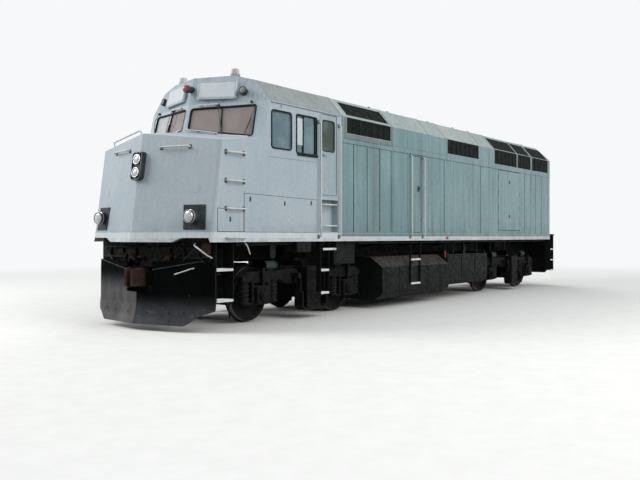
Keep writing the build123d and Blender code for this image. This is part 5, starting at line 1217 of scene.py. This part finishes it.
# Rungs of the hanging ladder below the cab door
RUNG_X = (4.573, 4.963)
RUNG_Y = 1.52
RUNG_Z = (RAIL + 1.79, RAIL + 2.21)
treads = Shape()
for side, _ in SIDES:
    for x0, x1, y0, y1, heights in TREADS:
        low_x, high_x = x0 + TREAD_EDGE, x1 - TREAD_EDGE
        front = side_face(side, y1)
        for z in heights:
            treads.plate(front, outline_of(low_x, high_x, z - TREAD_NOSE, z + 0.004), -0.001, 0.004,
                         0.001)
            treads.box((low_x, side * y0, z - 0.001), (high_x, side * y1, z + 0.003))
            for y in spaced(y0 + 0.015, y1 - 0.012, max(2, int((y1 - y0) / 0.028))):
                treads.box((x0 + 0.03, side * (y - 0.003), z + 0.002),
                           (x1 - 0.03, side * (y + 0.003), z + 0.006))
    for z in RUNG_Z:
        treads.tube([(x, side * RUNG_Y, z) for x in RUNG_X], 0.0162, 12)
piece("step_treads", treads, "rail_white", "tread_white")


# Plow and what hangs round the front coupler
PLOW_LOW, PLOW_TOP = RAIL + 0.085, RAIL + 1.165
PLOW_CREASE = [(PLOW_LOW, NOSE_X - 0.02), (PLOW_LOW + 0.13, NOSE_X - 0.075),
               (PLOW_LOW + 0.34, NOSE_X - 0.115), (PLOW_TOP, NOSE_X - 0.12)]
PLOW_SLOPE, PLOW_WING_SLOPE = 0.2, 0.68
PLOW_BEND = HALF - 0.26
PLOW_HALF = HALF - 0.05
NOTCH_HALF = 0.33


def plow_face(side):
    """Front of the plow: Y from the crease, Z and the distance ahead of it."""
    def at(y, z, out=0.0):
        for (z0, x0), (z1, x1) in zip(PLOW_CREASE, PLOW_CREASE[1:]):
            if z <= z1:
                break
        x = x0 + (x1 - x0) * (z - z0) / (z1 - z0)
        x -= PLOW_SLOPE * min(y, PLOW_BEND) + PLOW_WING_SLOPE * max(0, y - PLOW_BEND)
        return Vector((x + out, side * (y + PLOW_SLOPE * out), z))
    return at


def bent(shape, side, points, bend, radius, sides=8):
    """A bar or pipe through (X, Y, Z) on one side, eased round its corners."""
    shape.tube(eased([(x, side * y, z) for x, y, z in points], bend), radius, sides)


def lift_lever(shape, side, x, reach):
    """A bar along the end of the frame, bent down to the coupler and to its handle."""
    line = ((0.16, 1.14), (0.24, 1.235), (reach, 1.235), (reach + 0.1, 1.08))
    bent(shape, side, [(x, y, z) for y, z in line], 0.04, 0.0125)


END_PLATE_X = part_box("main_frame")[1].x
# Wing's shoulder as (Y, Z below the top), and the heights of its outer edge
SHOULDER_LINE = ((PLOW_BEND + 0.06, 0.012), (PLOW_BEND + 0.13, 0.045), (PLOW_HALF - 0.035, 0.085),
                 (PLOW_HALF - 0.008, 0.15))
WING_EDGE = (0.8, 0.5, 0.37)
# Holes and cut marks as (Y, Z, radius)
HOLES = ((1.0, 0.327, 0.022), (0.7, 0.305, 0.02), (0.25, 0.30, 0.02), (1.08, 0.62, 0.016))
# Casting beside the coupler shank, as corners (Y, Z)
CHEEK = [(0.235, 0.56), (0.31, 0.56), (0.345, 0.76), (0.345, 1.09), (0.3, 1.17), (0.235, 1.17)]
# Plates round it as (y0, y1, z0, z1), back, front and edge
CHEEK_PLATES = (((0, 0.24, 0.56, 0.745), -0.06, 0.03, 0.008),
                ((0, 0.24, 1.066, 1.17), -0.06, 0.03, 0.008),
                ((0.34, 1.36, 0.56, 1.16), -0.09, -0.075, 0.0),
                ((0, 1.3, 0.4, 0.57), -0.06, -0.045, 0.0))
LEFT_CASTING = [(1.2, 1.34), (1.4, 1.31), (1.43, 1.49), (1.28, 1.5)]
CASTING = [(0.36, 1.18), (0.5, 1.2), (0.56, 1.29), (0.42, 1.27)]
AIR_PIPE_Y = (0.52, 0.66)
AIR_PIPE_Z = 1.26
# Pipes across the end plate as (Z, y0, y1, radius)
CROSS_PIPES = ((1.25, 0.2, 1.34, 0.013), (1.42, 0.1, 1.32, 0.02), (1.47, 0.3, 1.3, 0.012))
BRACKET_Y = (0.45, 0.8, 1.15)
# White grab bars by the left steps
SILL_BAR = [(8.08, 1.13, 1.5), (8.17, 1.19, 1.455), (8.2, 1.34, 1.395), (8.17, 1.49, 1.295),
            (8.06, 1.49, 1.25)]
STEP_BAR = [(7.28, 1.5, 1.51), (7.262, 1.55, 1.45), (7.235, 1.565, 1.37), (7.187, 1.55, 1.3)]
# Grab bar on the plow as (Y, Z, distance off it)
PLOW_BAR = ((0.81, 0.965, 0), (0.815, 0.967, 0.045), (1.165, 1.072, 0.045), (1.17, 1.074, 0))
# Cover below the centre sills as (x0, x1, half width, z0, z1)
SILL_COVER = (6.5, 7.2, 0.41, 1.0, 1.155)
rims, marks, bars, gear, rusty = shapes(5)


def plow_rim(at):
    """Rolled rim that rises from the notch to the wing's round corner, and goes down its edge."""
    top = [at(y, PLOW_TOP - 0.004 - 0.16 * (PLOW_BEND - y), 0.004)
           for y in spaced(NOTCH_HALF, PLOW_BEND, 6)]
    shoulder = [at(y, PLOW_TOP - drop, -0.012) for y, drop in SHOULDER_LINE]
    edge = [at(PLOW_HALF - 0.006, z, -0.012) for z in WING_EDGE]
    rims.tube(top + shoulder + edge, 0.011, 8)


def coupler_cheek(at):
    """Casting beside the coupler shank, and the plates round it."""
    gear.plate(at, CHEEK, -0.06, 0.03, 0.008)
    for corners, back, front, edge in CHEEK_PLATES:
        gear.plate(at, outline_of(*corners), back, front, edge)
    for z in spaced(0.72, 1.1, 5):
        gear.bolt(at, 0.29, z, 0.016, 0.012, 0.03)


def air_pipe(side, y):
    """A pipe that comes out of the end plate and turns down, with its angle cock."""
    z = AIR_PIPE_Z
    bent(gear, side, [(END_PLATE_X - 0.02, y, z), (8.09, y, z), (8.13, y, z - 0.15)], 0.04, 0.019,
         10)
    rusty.turned((8.05, side * y, z), (1, 0, 0),
                 [(0, 0.026), (0.012, 0.034), (0.045, 0.034), (0.057, 0.026)], 12)
    rusty.tube([(8.07, side * y, z + 0.03), (8.07, side * (y + 0.09), z + 0.045)], 0.008, 6)


def cross_pipes(at):
    """Pipes across the end plate with their brackets."""
    for z, y0, y1, radius in CROSS_PIPES:
        gear.tube([at(y0, z, 0.03), at(y1, z, 0.03)], radius, 8)
    for y in BRACKET_Y:
        gear.plate(at, outline_of(y - 0.012, y + 0.012, 1.19, 1.5), 0, 0.035, 0.004)


for side, _ in SIDES:
    at = plow_face(side)
    plow_rim(at)
    for y, z, radius in HOLES:
        marks.plate(at, arc(y, z, radius, 0, 340, 14), 0, JOINT_T)
    end_plate = cross_face(END_PLATE_X, 1, side)
    coupler_cheek(end_plate)
    # Rusty castings below the notch in the sill, with a stay down to the plow
    if side > 0:
        rusty.plate(end_plate, LEFT_CASTING, 0, 0.07, 0.012)
    rusty.plate(end_plate, CASTING, 0, 0.12, 0.01)
    rims.tube([at(0.92, PLOW_TOP - 0.01, -0.03), (8.13, side * 1.22, 1.44)], 0.012, 8)
    for y in AIR_PIPE_Y:
        air_pipe(side, y)
    cross_pipes(end_plate)
    lift_lever(gear, side, 8.06, 1.24)
plow = plow_face(1)
bent(bars, 1, SILL_BAR, 0.035, 0.0135)
bent(bars, 1, [plow(*spot) for spot in PLOW_BAR], 0.02, 0.012)
bent(bars, 1, STEP_BAR, 0.03, 0.011)
x0, x1, half, z0, z1 = SILL_COVER
for end in (1, -1):
    gear.box((end * x0, -half, z0), (end * x1, half, z1))
piece("plow_rims", rims, "frame_black", "rim_grey")
piece("plow_marks", marks, "frame_black", "rubber")
piece("front_bars", bars, "rail_white")
piece("front_gear", gear, "frame_black")
piece("front_castings", rusty, "coupler_rust")


# Rear end: seams and door trim on the end wall, and the gear on the pilot plate
DOOR_LOW, DOOR_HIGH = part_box("end_door")
PILOT_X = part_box("rear_pilot")[0].x
END_SEAMS = (0.62, 1.12)
END_PANEL = (0.87, 0.13, 1.95, 2.4)
LEVER_BRACKETS = (0.3, 0.8, 1.2)
REAR_PIPE_Y = (0.5, 0.62)
REAR_PIPE_Z = 1.1
SOCKET_Y = (0.78, 0.9, 1.02)
SOCKET_Z = 1.32
# Grab bar as (distance behind the pilot, Z)
GRAB_LINE = ((0, 0.72), (0.05, 0.72), (0.05, 1.02), (0, 1.02))
GRAB_Y = 1.33
TREAD_LOW, TREAD_HIGH = REAR - 0.62, REAR - 0.12
seams, panels, trim, gear, castings, bars = shapes(6)
wall = cross_face(REAR, -1)
door = cross_face(REAR + 0.006, -1)
pilot = cross_face(PILOT_X, -1)
behind = cross_face(PILOT_X + 0.075, -1)


def wall_seams(side):
    """Seams of the end wall between rows of rivets, and a plain raised panel."""
    heights = spaced(SILL_TOP + 0.08, EAVE - 0.08, 15)
    for y in END_SEAMS:
        seams.plate(wall, outline_of(side * y - 0.005, side * y + 0.005, SILL_TOP, EAVE), 0,
                    JOINT_T)
    rows = [y + dy for y in END_SEAMS for dy in (0.03, -0.03)] + [HALF - 0.04]
    for y in rows:
        for z in heights:
            panels.rivet(wall, side * y, z, 0.008)
    y, half, z0, z1 = END_PANEL
    panels.plate(wall, rounded(side * y - half, side * y + half, z0, z1, 0.02), 0, 0.006, 0.002)


def pilot_bolts(side):
    """Bolts beside the notch, along the upper edge and down the outer edge."""
    for z in spaced(0.68, 1.16, 5):
        gear.bolt(pilot, side * 0.356, z, 0.014, 0.011, 0.018)
    for y in spaced(0.46, 1.34, 8):
        gear.bolt(pilot, side * y, 1.365, 0.013, 0.01)
    for z in spaced(0.7, 1.28, 5):
        gear.bolt(pilot, side * 1.36, z, 0.013, 0.01)


def rear_pipes(side):
    """Air pipes with their flanges, and three sockets."""
    z = REAR_PIPE_Z
    for y in REAR_PIPE_Y:
        bent(gear, side, [(PILOT_X + 0.02, y, z), (PILOT_X - 0.07, y, z),
                          (PILOT_X - 0.11, y, z - 0.13)], 0.04, 0.019, 10)
        castings.turned((PILOT_X, side * y, z), (-1, 0, 0),
                        [(0, 0.036), (0.02, 0.036), (0.03, 0.026), (0.06, 0.026)], 12)
    for y in SOCKET_Y:
        castings.turned((PILOT_X, side * y, SOCKET_Z), (-1, 0, 0),
                        [(0, 0.034), (0.012, 0.034), (0.014, 0.028), (0.045, 0.028),
                         (0.05, 0.02)], 14)


panels.plate(wall, outline_of(-0.4, 0.4, DOOR_HIGH.z + 0.04, DOOR_HIGH.z + 0.06), 0, 0.03, 0.004)
trim.band(door, rounded(DOOR_LOW.y + 0.04, DOOR_HIGH.y - 0.04, DOOR_LOW.z + 0.04,
                        DOOR_HIGH.z - 0.04, 0.04), 0.012, 0, 0.004)
trim.plate(door, rounded(-0.16, 0.16, 2.95, 3.4, 0.03), 0, 0.005, 0.002)
gear.band(pilot, outline_of(-NOTCH_HALF, NOTCH_HALF, 0.655, 1.185), 0.05, 0, 0.018)
for z0, z1 in ((0.56, 0.745), (1.066, 1.19)):
    gear.plate(behind, outline_of(-0.36, 0.36, z0, z1), 0, 0.02)
for side, _ in SIDES:
    wall_seams(side)
    gear.plate(behind, outline_of(side * 0.235, side * 0.36, 0.74, 1.07), 0, 0.02)
    pilot_bolts(side)
    lift_lever(gear, side, PILOT_X - 0.05, 1.22)
    for y in LEVER_BRACKETS:
        gear.plate(pilot, outline_of(side * y - 0.02, side * y + 0.02, 1.2, 1.27), 0, 0.05, 0.004)
    rear_pipes(side)
    bent(bars, side, [(PILOT_X - back, GRAB_Y, z) for back, z in GRAB_LINE], 0.025, 0.012)
# Raised tread bars on the platform
for x in spaced(TREAD_LOW, TREAD_HIGH, 9):
    gear.box((x - 0.008, -1.4, SILL_TOP + 0.006), (x + 0.008, 1.4, SILL_TOP + 0.012))
piece("end_seams", seams, "hood_paint", "joint_dark")
piece("end_panels", panels, "hood_paint")
piece("end_door_trim", trim, "hood_paint", body="end_door")
piece("rear_gear", gear, "frame_black")
piece("rear_castings", castings, "coupler_rust")
piece("rear_bars", bars, "rail_white")


# Knobs of the engine doors
KNOB_PLATE = (1.27, 1.325, 2.66, 2.8)
KNOB_AT = (1.297, 2.729)
for side, word in SIDES:
    knob = Shape()
    at = side_face(side, HALF - LEAF_IN)
    knob.plate(at, rounded(*KNOB_PLATE, 0.02), 0, 0.008, 0.002)
    knob.turned(at(*KNOB_AT, 0.008), (0, side, 0),
                [(0, 0.02), (0.022, 0.016), (0.026, 0.03), (0.042, 0.03), (0.048, 0.02)], 16)
    piece(f"engine_knob_{word}", knob, "frame_black", "dark_metal", f"engine_door_{word}")


# Coupler heads: ribs on both cheeks, and the caps of the knuckle pin
RIB_FACES = ((-0.158, -0.148), (0.15, 0.164))
RIB_RISE = 0.095
HEAD_HALF = 0.144
for end, word in ((1, "front"), (-1, "rear")):
    ribs = Shape()
    for y0, y1 in RIB_FACES:
        for z in (COUPLER_Z - RIB_RISE, COUPLER_Z, COUPLER_Z + RIB_RISE):
            ribs.box((end * (COUPLER_X - 0.24), end * y0, z - 0.011),
                     (end * (COUPLER_X - 0.075), end * y1, z + 0.011))
    for way in (1, -1):
        ribs.turned((end * (COUPLER_X - 0.1), end * -0.1, COUPLER_Z + way * HEAD_HALF),
                    (0, 0, way), [(0, 0.036), (0.02, 0.036), (0.03, 0.026), (0.034, 0.012)], 16)
        ribs.box((end * (COUPLER_X - 0.33), -0.07, COUPLER_Z + way * HEAD_HALF),
                 (end * (COUPLER_X - 0.2), 0.07, COUPLER_Z + way * (HEAD_HALF + 0.012)))
    piece(f"{word}_coupler_ribs", ribs, "coupler_rust", body=f"{word}_coupler")


# Below the floor: skirt, pipes, tank straps, box lids and the boxes by the cab
SKIRT_LOW = RAIL + 1.582
SKIRT_SPANS = ((REAR, -2.9), (-2.896, 2.45), (2.454, CAB_REAR))
# Train pipes as (Y, Z, radius), and their clamps as (y0, y1, z0, z1)
TRAIN_PIPES = ((1.405, 1.475, 0.018), (1.35, 1.455, 0.013))
CLAMP = (1.33, 1.427, 1.44, 1.51)
# Drop pipes behind the tank as (X, lower end)
DROP_PIPES = ((-0.815, 1.13), (-3.09, 1.2), (-4.1, 1.2), (-2.2, 1.13))
DROP_Y, DROP_TOP = 1.37, 1.6
# Boxes and plates by the cab as inner Y, (x0, x1, z0, z1), corner, back, front and edge
CAB_BOXES = ((1.4, (5.416, 5.848, 1.308, 1.5), 0.012, 0, 0.13, 0.006),
             (1.4, (5.43, 5.834, 1.33, 1.48), 0.02, 0.13, 0.136, 0.002),
             (1.36, (6.3, 6.46, 1.2, 1.5), 0.05, 0, 0.03, 0.006),
             (1.29, (3.72, 4.47, 1.04, 1.5), 0.02, 0, 0.1, 0.008),
             (1.39, (3.78, 4.41, 1.1, 1.44), 0.03, 0, 0.008, 0.003))
TANK_Y = 1.5
TANK_LINE = [(1.16, 1.15), (TANK_Y, 0.925), (TANK_Y, 0.34)]
STRAP_X = (0.1, 0.75, 2.05, 2.62)
TANK_PANELS = ((-0.3, 0.07), (0.13, 0.72), (0.78, 2.02), (2.08, 2.59))
FILLER_AT = (0.99, 1.35, RAIL + 1.005)
BOX_Y = 1.4
BOX_LIDS = ((-2.8, -2.05), (-2.0, -1.25), (-1.2, -0.47))
CUT_OFF_X = -0.135
skirt, pipes, boxes, orange, red = shapes(5)


def sill_skirt(side):
    """Thin strips over the lower edge of the sill, with rivets."""
    at = side_face(side, HALF + SILL_OUT)
    for x0, x1 in SKIRT_SPANS:
        skirt.plate(at, outline_of(x0, x1, SKIRT_LOW, SILL_TOP - 0.002), -0.001, 0.004, 0.001)
    for x in spaced(REAR + 0.15, CAB_REAR - 0.1, 46):
        skirt.rivet(at, x, SKIRT_LOW + 0.034, 0.007, 0.004)


def train_pipes(side):
    """Pipes with clamps along the ends of the bearers, and the pipes that drop from them."""
    for y, z, radius in TRAIN_PIPES:
        pipes.tube([(-7.2, side * y, z), (7.4, side * y, z)], radius, 10)
    y0, y1, z0, z1 = CLAMP
    for x in spaced(-7.0, 7.2, 17):
        pipes.box((x - 0.015, side * y0, z0), (x + 0.015, side * y1, z1))
    for x, low in DROP_PIPES:
        pipes.tube([(x, side * DROP_Y, low), (x, side * DROP_Y, DROP_TOP)], 0.016, 10)
        pipes.turned((x, side * DROP_Y, low + 0.06), (0, 0, 1),
                     [(0, 0.016), (0.004, 0.026), (0.036, 0.026), (0.04, 0.016)], 12)


def tank_strap(side, x):
    """A flat strap down the slope and the side of the tank."""
    for (y0, z0), (y1, z1) in zip(TANK_LINE, TANK_LINE[1:]):
        away = Vector((0, z0 - z1, y1 - y0)).normalized()
        lift = Vector((0, side * away.y, away.z)) * 0.007
        ring = [Vector((x + dx, side * y, z)) for dx, y, z in
                ((-0.03, y0, z0), (0.03, y0, z0), (0.03, y1, z1), (-0.03, y1, z1))]
        pipes.prism([p - lift * 0.3 for p in ring], [p + lift for p in ring])


def filler_cap(side):
    """The cap on the filler neck, with its handle."""
    x, y, z = FILLER_AT
    axis = Vector((0, side * 0.225, 0.34)).normalized()
    cap = Vector((x, side * y, z)) + axis * 0.055
    orange.turned(cap, axis, [(-0.03, 0.052), (0.012, 0.052), (0.02, 0.046), (0.024, 0.02)], 20)
    orange.tube([cap + axis * 0.03 + Vector((dx, 0, 0)) for dx in (-0.04, 0.04)], 0.009, 8)


def box_lid(at, x0, x1):
    """The lid of an equipment box with its hinges and catches."""
    boxes.plate(at, rounded(x0, x1, 0.53, 1.1, 0.03), 0, 0.012, 0.004)
    for x in (x0 + 0.12, x1 - 0.12):
        boxes.tube([at(x - 0.05, 1.115, 0.008), at(x + 0.05, 1.115, 0.008)], 0.012, 8)
        boxes.plate(at, rounded(x - 0.02, x + 0.02, 0.56, 0.64, 0.01), 0.012, 0.024, 0.003)


def fuel_cut_off(side):
    """A small red box on the sill, with its pull rod and its cock below."""
    red.plate(side_face(side, HALF + SILL_OUT),
              rounded(CUT_OFF_X - 0.04, CUT_OFF_X + 0.04, 1.545, 1.6, 0.01), 0, 0.022, 0.004)
    y = side * TANK_Y
    red.tube([(CUT_OFF_X, y, 1.08), (CUT_OFF_X, y, 1.24)], 0.022, 10)
    pipes.tube([(CUT_OFF_X, y, 0.98), (CUT_OFF_X, y, 1.5)], 0.012, 8)


for side, _ in SIDES:
    sill_skirt(side)
    train_pipes(side)
    for y, corners, corner, back, front, edge in CAB_BOXES:
        boxes.plate(side_face(side, y), rounded(*corners, corner), back, front, edge)
    for x in STRAP_X:
        tank_strap(side, x)
    for x0, x1 in TANK_PANELS:
        pipes.plate(side_face(side, TANK_Y), rounded(x0 + 0.02, x1 - 0.02, 0.42, 0.84, 0.03), 0,
                    0.005, 0.002)
    filler_cap(side)
    for x0, x1 in BOX_LIDS:
        box_lid(side_face(side, BOX_Y), x0, x1)
    fuel_cut_off(side)
piece("sill_skirt", skirt, "hood_paint")
piece("frame_pipes", pipes, "frame_black", "tank_black")
piece("frame_boxes", boxes, "frame_black", "tank_black")
piece("filler_caps", orange, "frame_black", "filler_orange")
piece("cut_off_valves", red, "frame_black", "valve_red")


# Trucks: coil springs, dampers, box bolts, brake gear, sand pipes and polished treads
SPRING_X = 0.4
SPRING_Y = 1.04
SPRING_Z = (AXLE_Z - 0.138, AXLE_Z + 0.257)
SEAT_HALF = 0.012
LEG_FACE = 1.12
BOX_FACE = 1.19
CAP_FACE = 1.23
BUCKET_FACE = 1.33
CYLINDER_X, CYLINDER_Z = 1.08, AXLE_Z + 0.532
# Two flanges and a sleeve of the brake cylinder as (start, length, radius)
CYLINDER_RINGS = ((-0.15, 0.02, 0.092), (0.13, 0.02, 0.092), (-0.132, 0.264, 0.0825))
# Damper's brackets as (inner Y, low, high), the heights above the axle
DAMPER_Y = 1.165
DAMPER_BRACKETS = ((1.11, 0.36, 0.385), (1.12, 0.165, 0.185))
# Rods and pipes as (X from the truck's middle, Y, Z above the axle)
LEVER_X = CYLINDER_X - 0.235
SAND_X = AXLE_X + 0.51
BRAKE_ROD = ((LEVER_X, 1.03, 0.5), (LEVER_X - 0.1, 0.93, 0.47), (0.78, 0.79, 0.41))
SAND_PIPE = ((SAND_X - 0.02, 0.99, 0.36), (SAND_X + 0.04, 0.94, 0.1), (SAND_X + 0.03, 0.8, -0.22),
             (SAND_X - 0.05, 0.76, 0.11 - AXLE_Z))
FRAME_PIPE = ((-1.3, 0.945, 0.45), (-0.5, 0.945, 0.47), (0.5, 0.945, 0.47), (1.3, 0.945, 0.45))
# Edge of the spring bucket as (X from the truck's middle, Z above the axle)
BUCKET_EDGE = ((-0.4, 0.01), (-0.4, -0.268), (-0.33, -0.348), (0.33, -0.348), (0.4, -0.268),
               (0.4, 0.01))
DUCT_X = 0.86


def truck_pipe(parts, middle, side, way, points, bend, radius):
    """A bent rod or pipe of the truck."""
    bent(parts, side, [(middle + way * x, y, AXLE_Z + z) for x, y, z in points], bend, radius)


def spring_pair(coils, parts, side, axle):
    """The two coil springs beside an axle box, between their seats."""
    low, high = SPRING_Z
    y = side * SPRING_Y
    for x in (axle - SPRING_X, axle + SPRING_X):
        coils.spring((x, y, low + SEAT_HALF), (x, y, high - SEAT_HALF), 0.088, 0.0165, 6)
        for z in SPRING_Z:
            parts.turned((x, y, z - SEAT_HALF), (0, 0, 1), [(0, 0.112), (2 * SEAT_HALF, 0.112)], 20)


def box_bolts(parts, side, axle):
    """Bolts round the cap of an axle box and at the corners of its face."""
    for x, z in arc(axle, AXLE_Z, 0.094, 30, 300, 5):
        parts.bolt(side_face(side, CAP_FACE), x, z, 0.014, 0.012)
    for dx in (-0.15, 0.15):
        for dz in (-0.13, 0.13):
            parts.bolt(side_face(side, BOX_FACE), axle + dx, AXLE_Z + dz, 0.014, 0.012)


def damper(parts, side, axle):
    """A damper between the box and the frame, with its brackets."""
    parts.turned((axle, side * DAMPER_Y, AXLE_Z + 0.18), (0, 0, 1),
                 [(0, 0.03), (0.15, 0.03), (0.151, 0.04), (0.31, 0.04)], 14)
    for y, low, high in DAMPER_BRACKETS:
        parts.box((axle - 0.045, side * y, AXLE_Z + low), (axle + 0.045, side * 1.2, AXLE_Z + high))


def pedestal(parts, side, axle):
    """Wear strips on the pedestal legs, and bolts along the frame over them."""
    at = side_face(side, LEG_FACE)
    for x in (axle - 0.226, axle + 0.226):
        parts.plate(at, outline_of(x - 0.022, x + 0.022, AXLE_Z - 0.11, AXLE_Z + 0.2), 0, 0.008,
                    0.003)
    for dx in spaced(-0.42, 0.42, 7):
        parts.bolt(at, axle + dx, AXLE_Z + 0.325, 0.012, 0.01)


def brake(parts, cylinders, middle, side, way):
    """A brake cylinder, with the lever and the rod that it pushes."""
    x = middle + way * CYLINDER_X
    for start, length, radius in CYLINDER_RINGS:
        cylinders.turned((x + start, side * SPRING_Y, CYLINDER_Z), (1, 0, 0),
                         [(0, radius), (length, radius)], 20)
    x = middle + way * LEVER_X
    parts.box((x - 0.012, side * 1.0, AXLE_Z + 0.43), (x + 0.012, side * 1.07, AXLE_Z + 0.58))
    truck_pipe(parts, middle, side, way, BRAKE_ROD, 0.03, 0.016)


def spring_bucket(parts, middle, side):
    """Edge flange of the bucket in the middle of the truck, with its bolts."""
    at = side_face(side, BUCKET_FACE)
    parts.tube([at(middle + x, AXLE_Z + z) for x, z in BUCKET_EDGE], 0.012, 6)
    for x in spaced(middle - 0.3, middle + 0.3, 5):
        parts.bolt(at, x, AXLE_Z - 0.33, 0.012, 0.01, -0.002)


def air_duct(parts, x):
    """A folded duct from the floor to a motor."""
    for level in range(5):
        low = AXLE_Z + 0.315 + level * 0.044
        parts.box((x - 0.2, -0.22, low), (x + 0.2, 0.16, low + 0.03))
    parts.box((x - 0.185, -0.2, AXLE_Z + 0.31), (x + 0.185, 0.14, AXLE_Z + 0.55))


def polished_treads(axle):
    """Bright bands round the two wheels of an axle."""
    tyres = Shape()
    for side, _ in SIDES:
        tyres.hoop((axle, side * 0.722, AXLE_Z), (0, side, 0),
                   [(0, 0.5), (0.002, 0.5105), (0.085, 0.507), (0.088, 0.495)])
    return tyres


for end, word in ((1, "front"), (-1, "rear")):
    middle = end * TRUCK_X
    coils, parts, cylinders = shapes(3)
    for side, _ in SIDES:
        for way in (1, -1):
            axle = middle + way * AXLE_X
            spring_pair(coils, parts, side, axle)
            box_bolts(parts, side, axle)
            damper(parts, side, axle)
            pedestal(parts, side, axle)
            brake(parts, cylinders, middle, side, way)
            truck_pipe(parts, middle, side, way, SAND_PIPE, 0.06, 0.016)
        truck_pipe(parts, middle, side, 1, FRAME_PIPE, 0.08, 0.014)
        spring_bucket(parts, middle, side)
    for way in (1, -1):
        air_duct(parts, middle + way * DUCT_X)
    truck = f"{word}_truck"
    piece(f"{word}_coils", coils, "truck_black", body=truck)
    piece(f"{word}_truck_gear", parts, "truck_black", body=truck)
    piece(f"{word}_cylinders", cylinders, "truck_black", "cylinder_teal_lit_top", truck)
    for way, letter in ((1, "a"), (-1, "b")):
        piece(f"{word}_treads_{letter}", polished_treads(middle + way * AXLE_X), "wheel_steel",
              "bright_steel", f"{word}_wheels_{letter}")


# Floor, sky, lamps and camera: pale where the camera sees them, plain for what they light
FLOOR_HALF = 600.0
FADE = (9.5, 27.0)
PALE = (0.93, 0.94, 0.95, 1)
SKY_LOW = (0.30, 0.31, 0.32, 1)
SKY_HIGH = (0.80, 0.82, 0.84, 1)


def shown_share(nodes):
    """1 for what is seen straight, through glass or in a bright face, else 0."""
    rays = nodes.node("ShaderNodeLightPath").outputs
    shown = nodes.sums("MAXIMUM", rays["Is Camera Ray"], rays["Is Transmission Ray"])
    return nodes.sums("MAXIMUM", shown, rays["Is Glossy Ray"])


def floor_material():
    """Pale grey ground that fades into the plain backdrop."""
    look = Look("floor_plain")
    shown = shown_share(look)
    speckle = look.remap(look.noise(3, 6, rough=0.7), 0.3, 0.7)
    pale = look.mix(speckle, colour(214, 214, 211), colour(220, 220, 217))
    look.link(look.mix(shown, colour(118, 118, 116), pale), "Base Color")
    look.shader.inputs["Roughness"].default_value = 0.95
    look.shader.inputs["Specular IOR Level"].default_value = 0.1
    away = look.node("ShaderNodeVectorMath", operation="LENGTH")
    look.tree.links.new(look.place, away.inputs[0])
    far = look.sums("MULTIPLY", look.remap(away.outputs["Value"], *FADE), shown)
    glow = look.node("ShaderNodeEmission", Color=PALE)
    surface = look.blend(far, look.shader.outputs[0], glow.outputs[0])
    look.tree.links.new(surface, look.tree.nodes["Material Output"].inputs["Surface"])
    return look.material


corners = [(x * FLOOR_HALF, y * FLOOR_HALF, 0) for x, y in ((-1, -1), (1, -1), (1, 1), (-1, 1))]
floor_data = bpy.data.meshes.new("floor")
floor_data.from_pydata(corners, [], [(0, 1, 2, 3)])
floor = bpy.data.objects.new("floor", floor_data)
bpy.context.scene.collection.objects.link(floor)
floor_data.materials.append(floor_material())

world = bpy.data.worlds.new("studio")
bpy.context.scene.world = world
world.use_nodes = True
world.node_tree.nodes.clear()
sky = Nodes(world.node_tree)
height = sky.part(sky.node("ShaderNodeTexCoord").outputs["Generated"], "Z")
soft = sky.node("ShaderNodeBackground", Color=sky.mix(height, SKY_LOW, SKY_HIGH))
plain = sky.node("ShaderNodeBackground", Color=PALE)
either = sky.blend(shown_share(sky), soft.outputs[0], plain.outputs[0])
sky.node("ShaderNodeOutputWorld", Surface=either)


def lamp(name, place, target, size, watts):
    """A soft square lamp that faces a point."""
    data = bpy.data.lights.new(name, "AREA")
    data.size = size
    data.energy = watts
    made = bpy.data.objects.new(name, data)
    made.location = place
    made.rotation_euler = (Vector(target) - Vector(place)).to_track_quat("-Z", "Y").to_euler()
    bpy.context.scene.collection.objects.link(made)


lamp("key", (18, -14, 13), (6, 0, 2), 12, 3600)
lamp("fill", (4, 22, 13), (0, 0, 2), 18, 4450)
lamp("back", (-16, -14, 14), (0, 0, 2), 14, 1800)

CAMERA_AT = (17.112, 10.472, 1.608)
CAMERA_TURN = math.radians(36.74)
LENS_PIXELS = 767.0
PHOTO_WIDTH = 640.0
PHOTO_MIDDLE = 240.0
HORIZON_PIXEL = 236.35
camera_data = bpy.data.cameras.new("camera")
camera_data.sensor_width = 36.0
camera_data.lens = LENS_PIXELS / PHOTO_WIDTH * camera_data.sensor_width
camera_data.shift_y = -(PHOTO_MIDDLE - HORIZON_PIXEL) / PHOTO_WIDTH
camera_data.clip_end = 600
camera = bpy.data.objects.new("camera", camera_data)
camera.location = CAMERA_AT
heading = Vector((-math.cos(CAMERA_TURN), -math.sin(CAMERA_TURN), 0))
camera.rotation_euler = heading.to_track_quat("-Z", "Y").to_euler()
bpy.context.scene.collection.objects.link(camera)
bpy.context.scene.camera = camera
bpy.context.scene.view_settings.view_transform = "Standard"
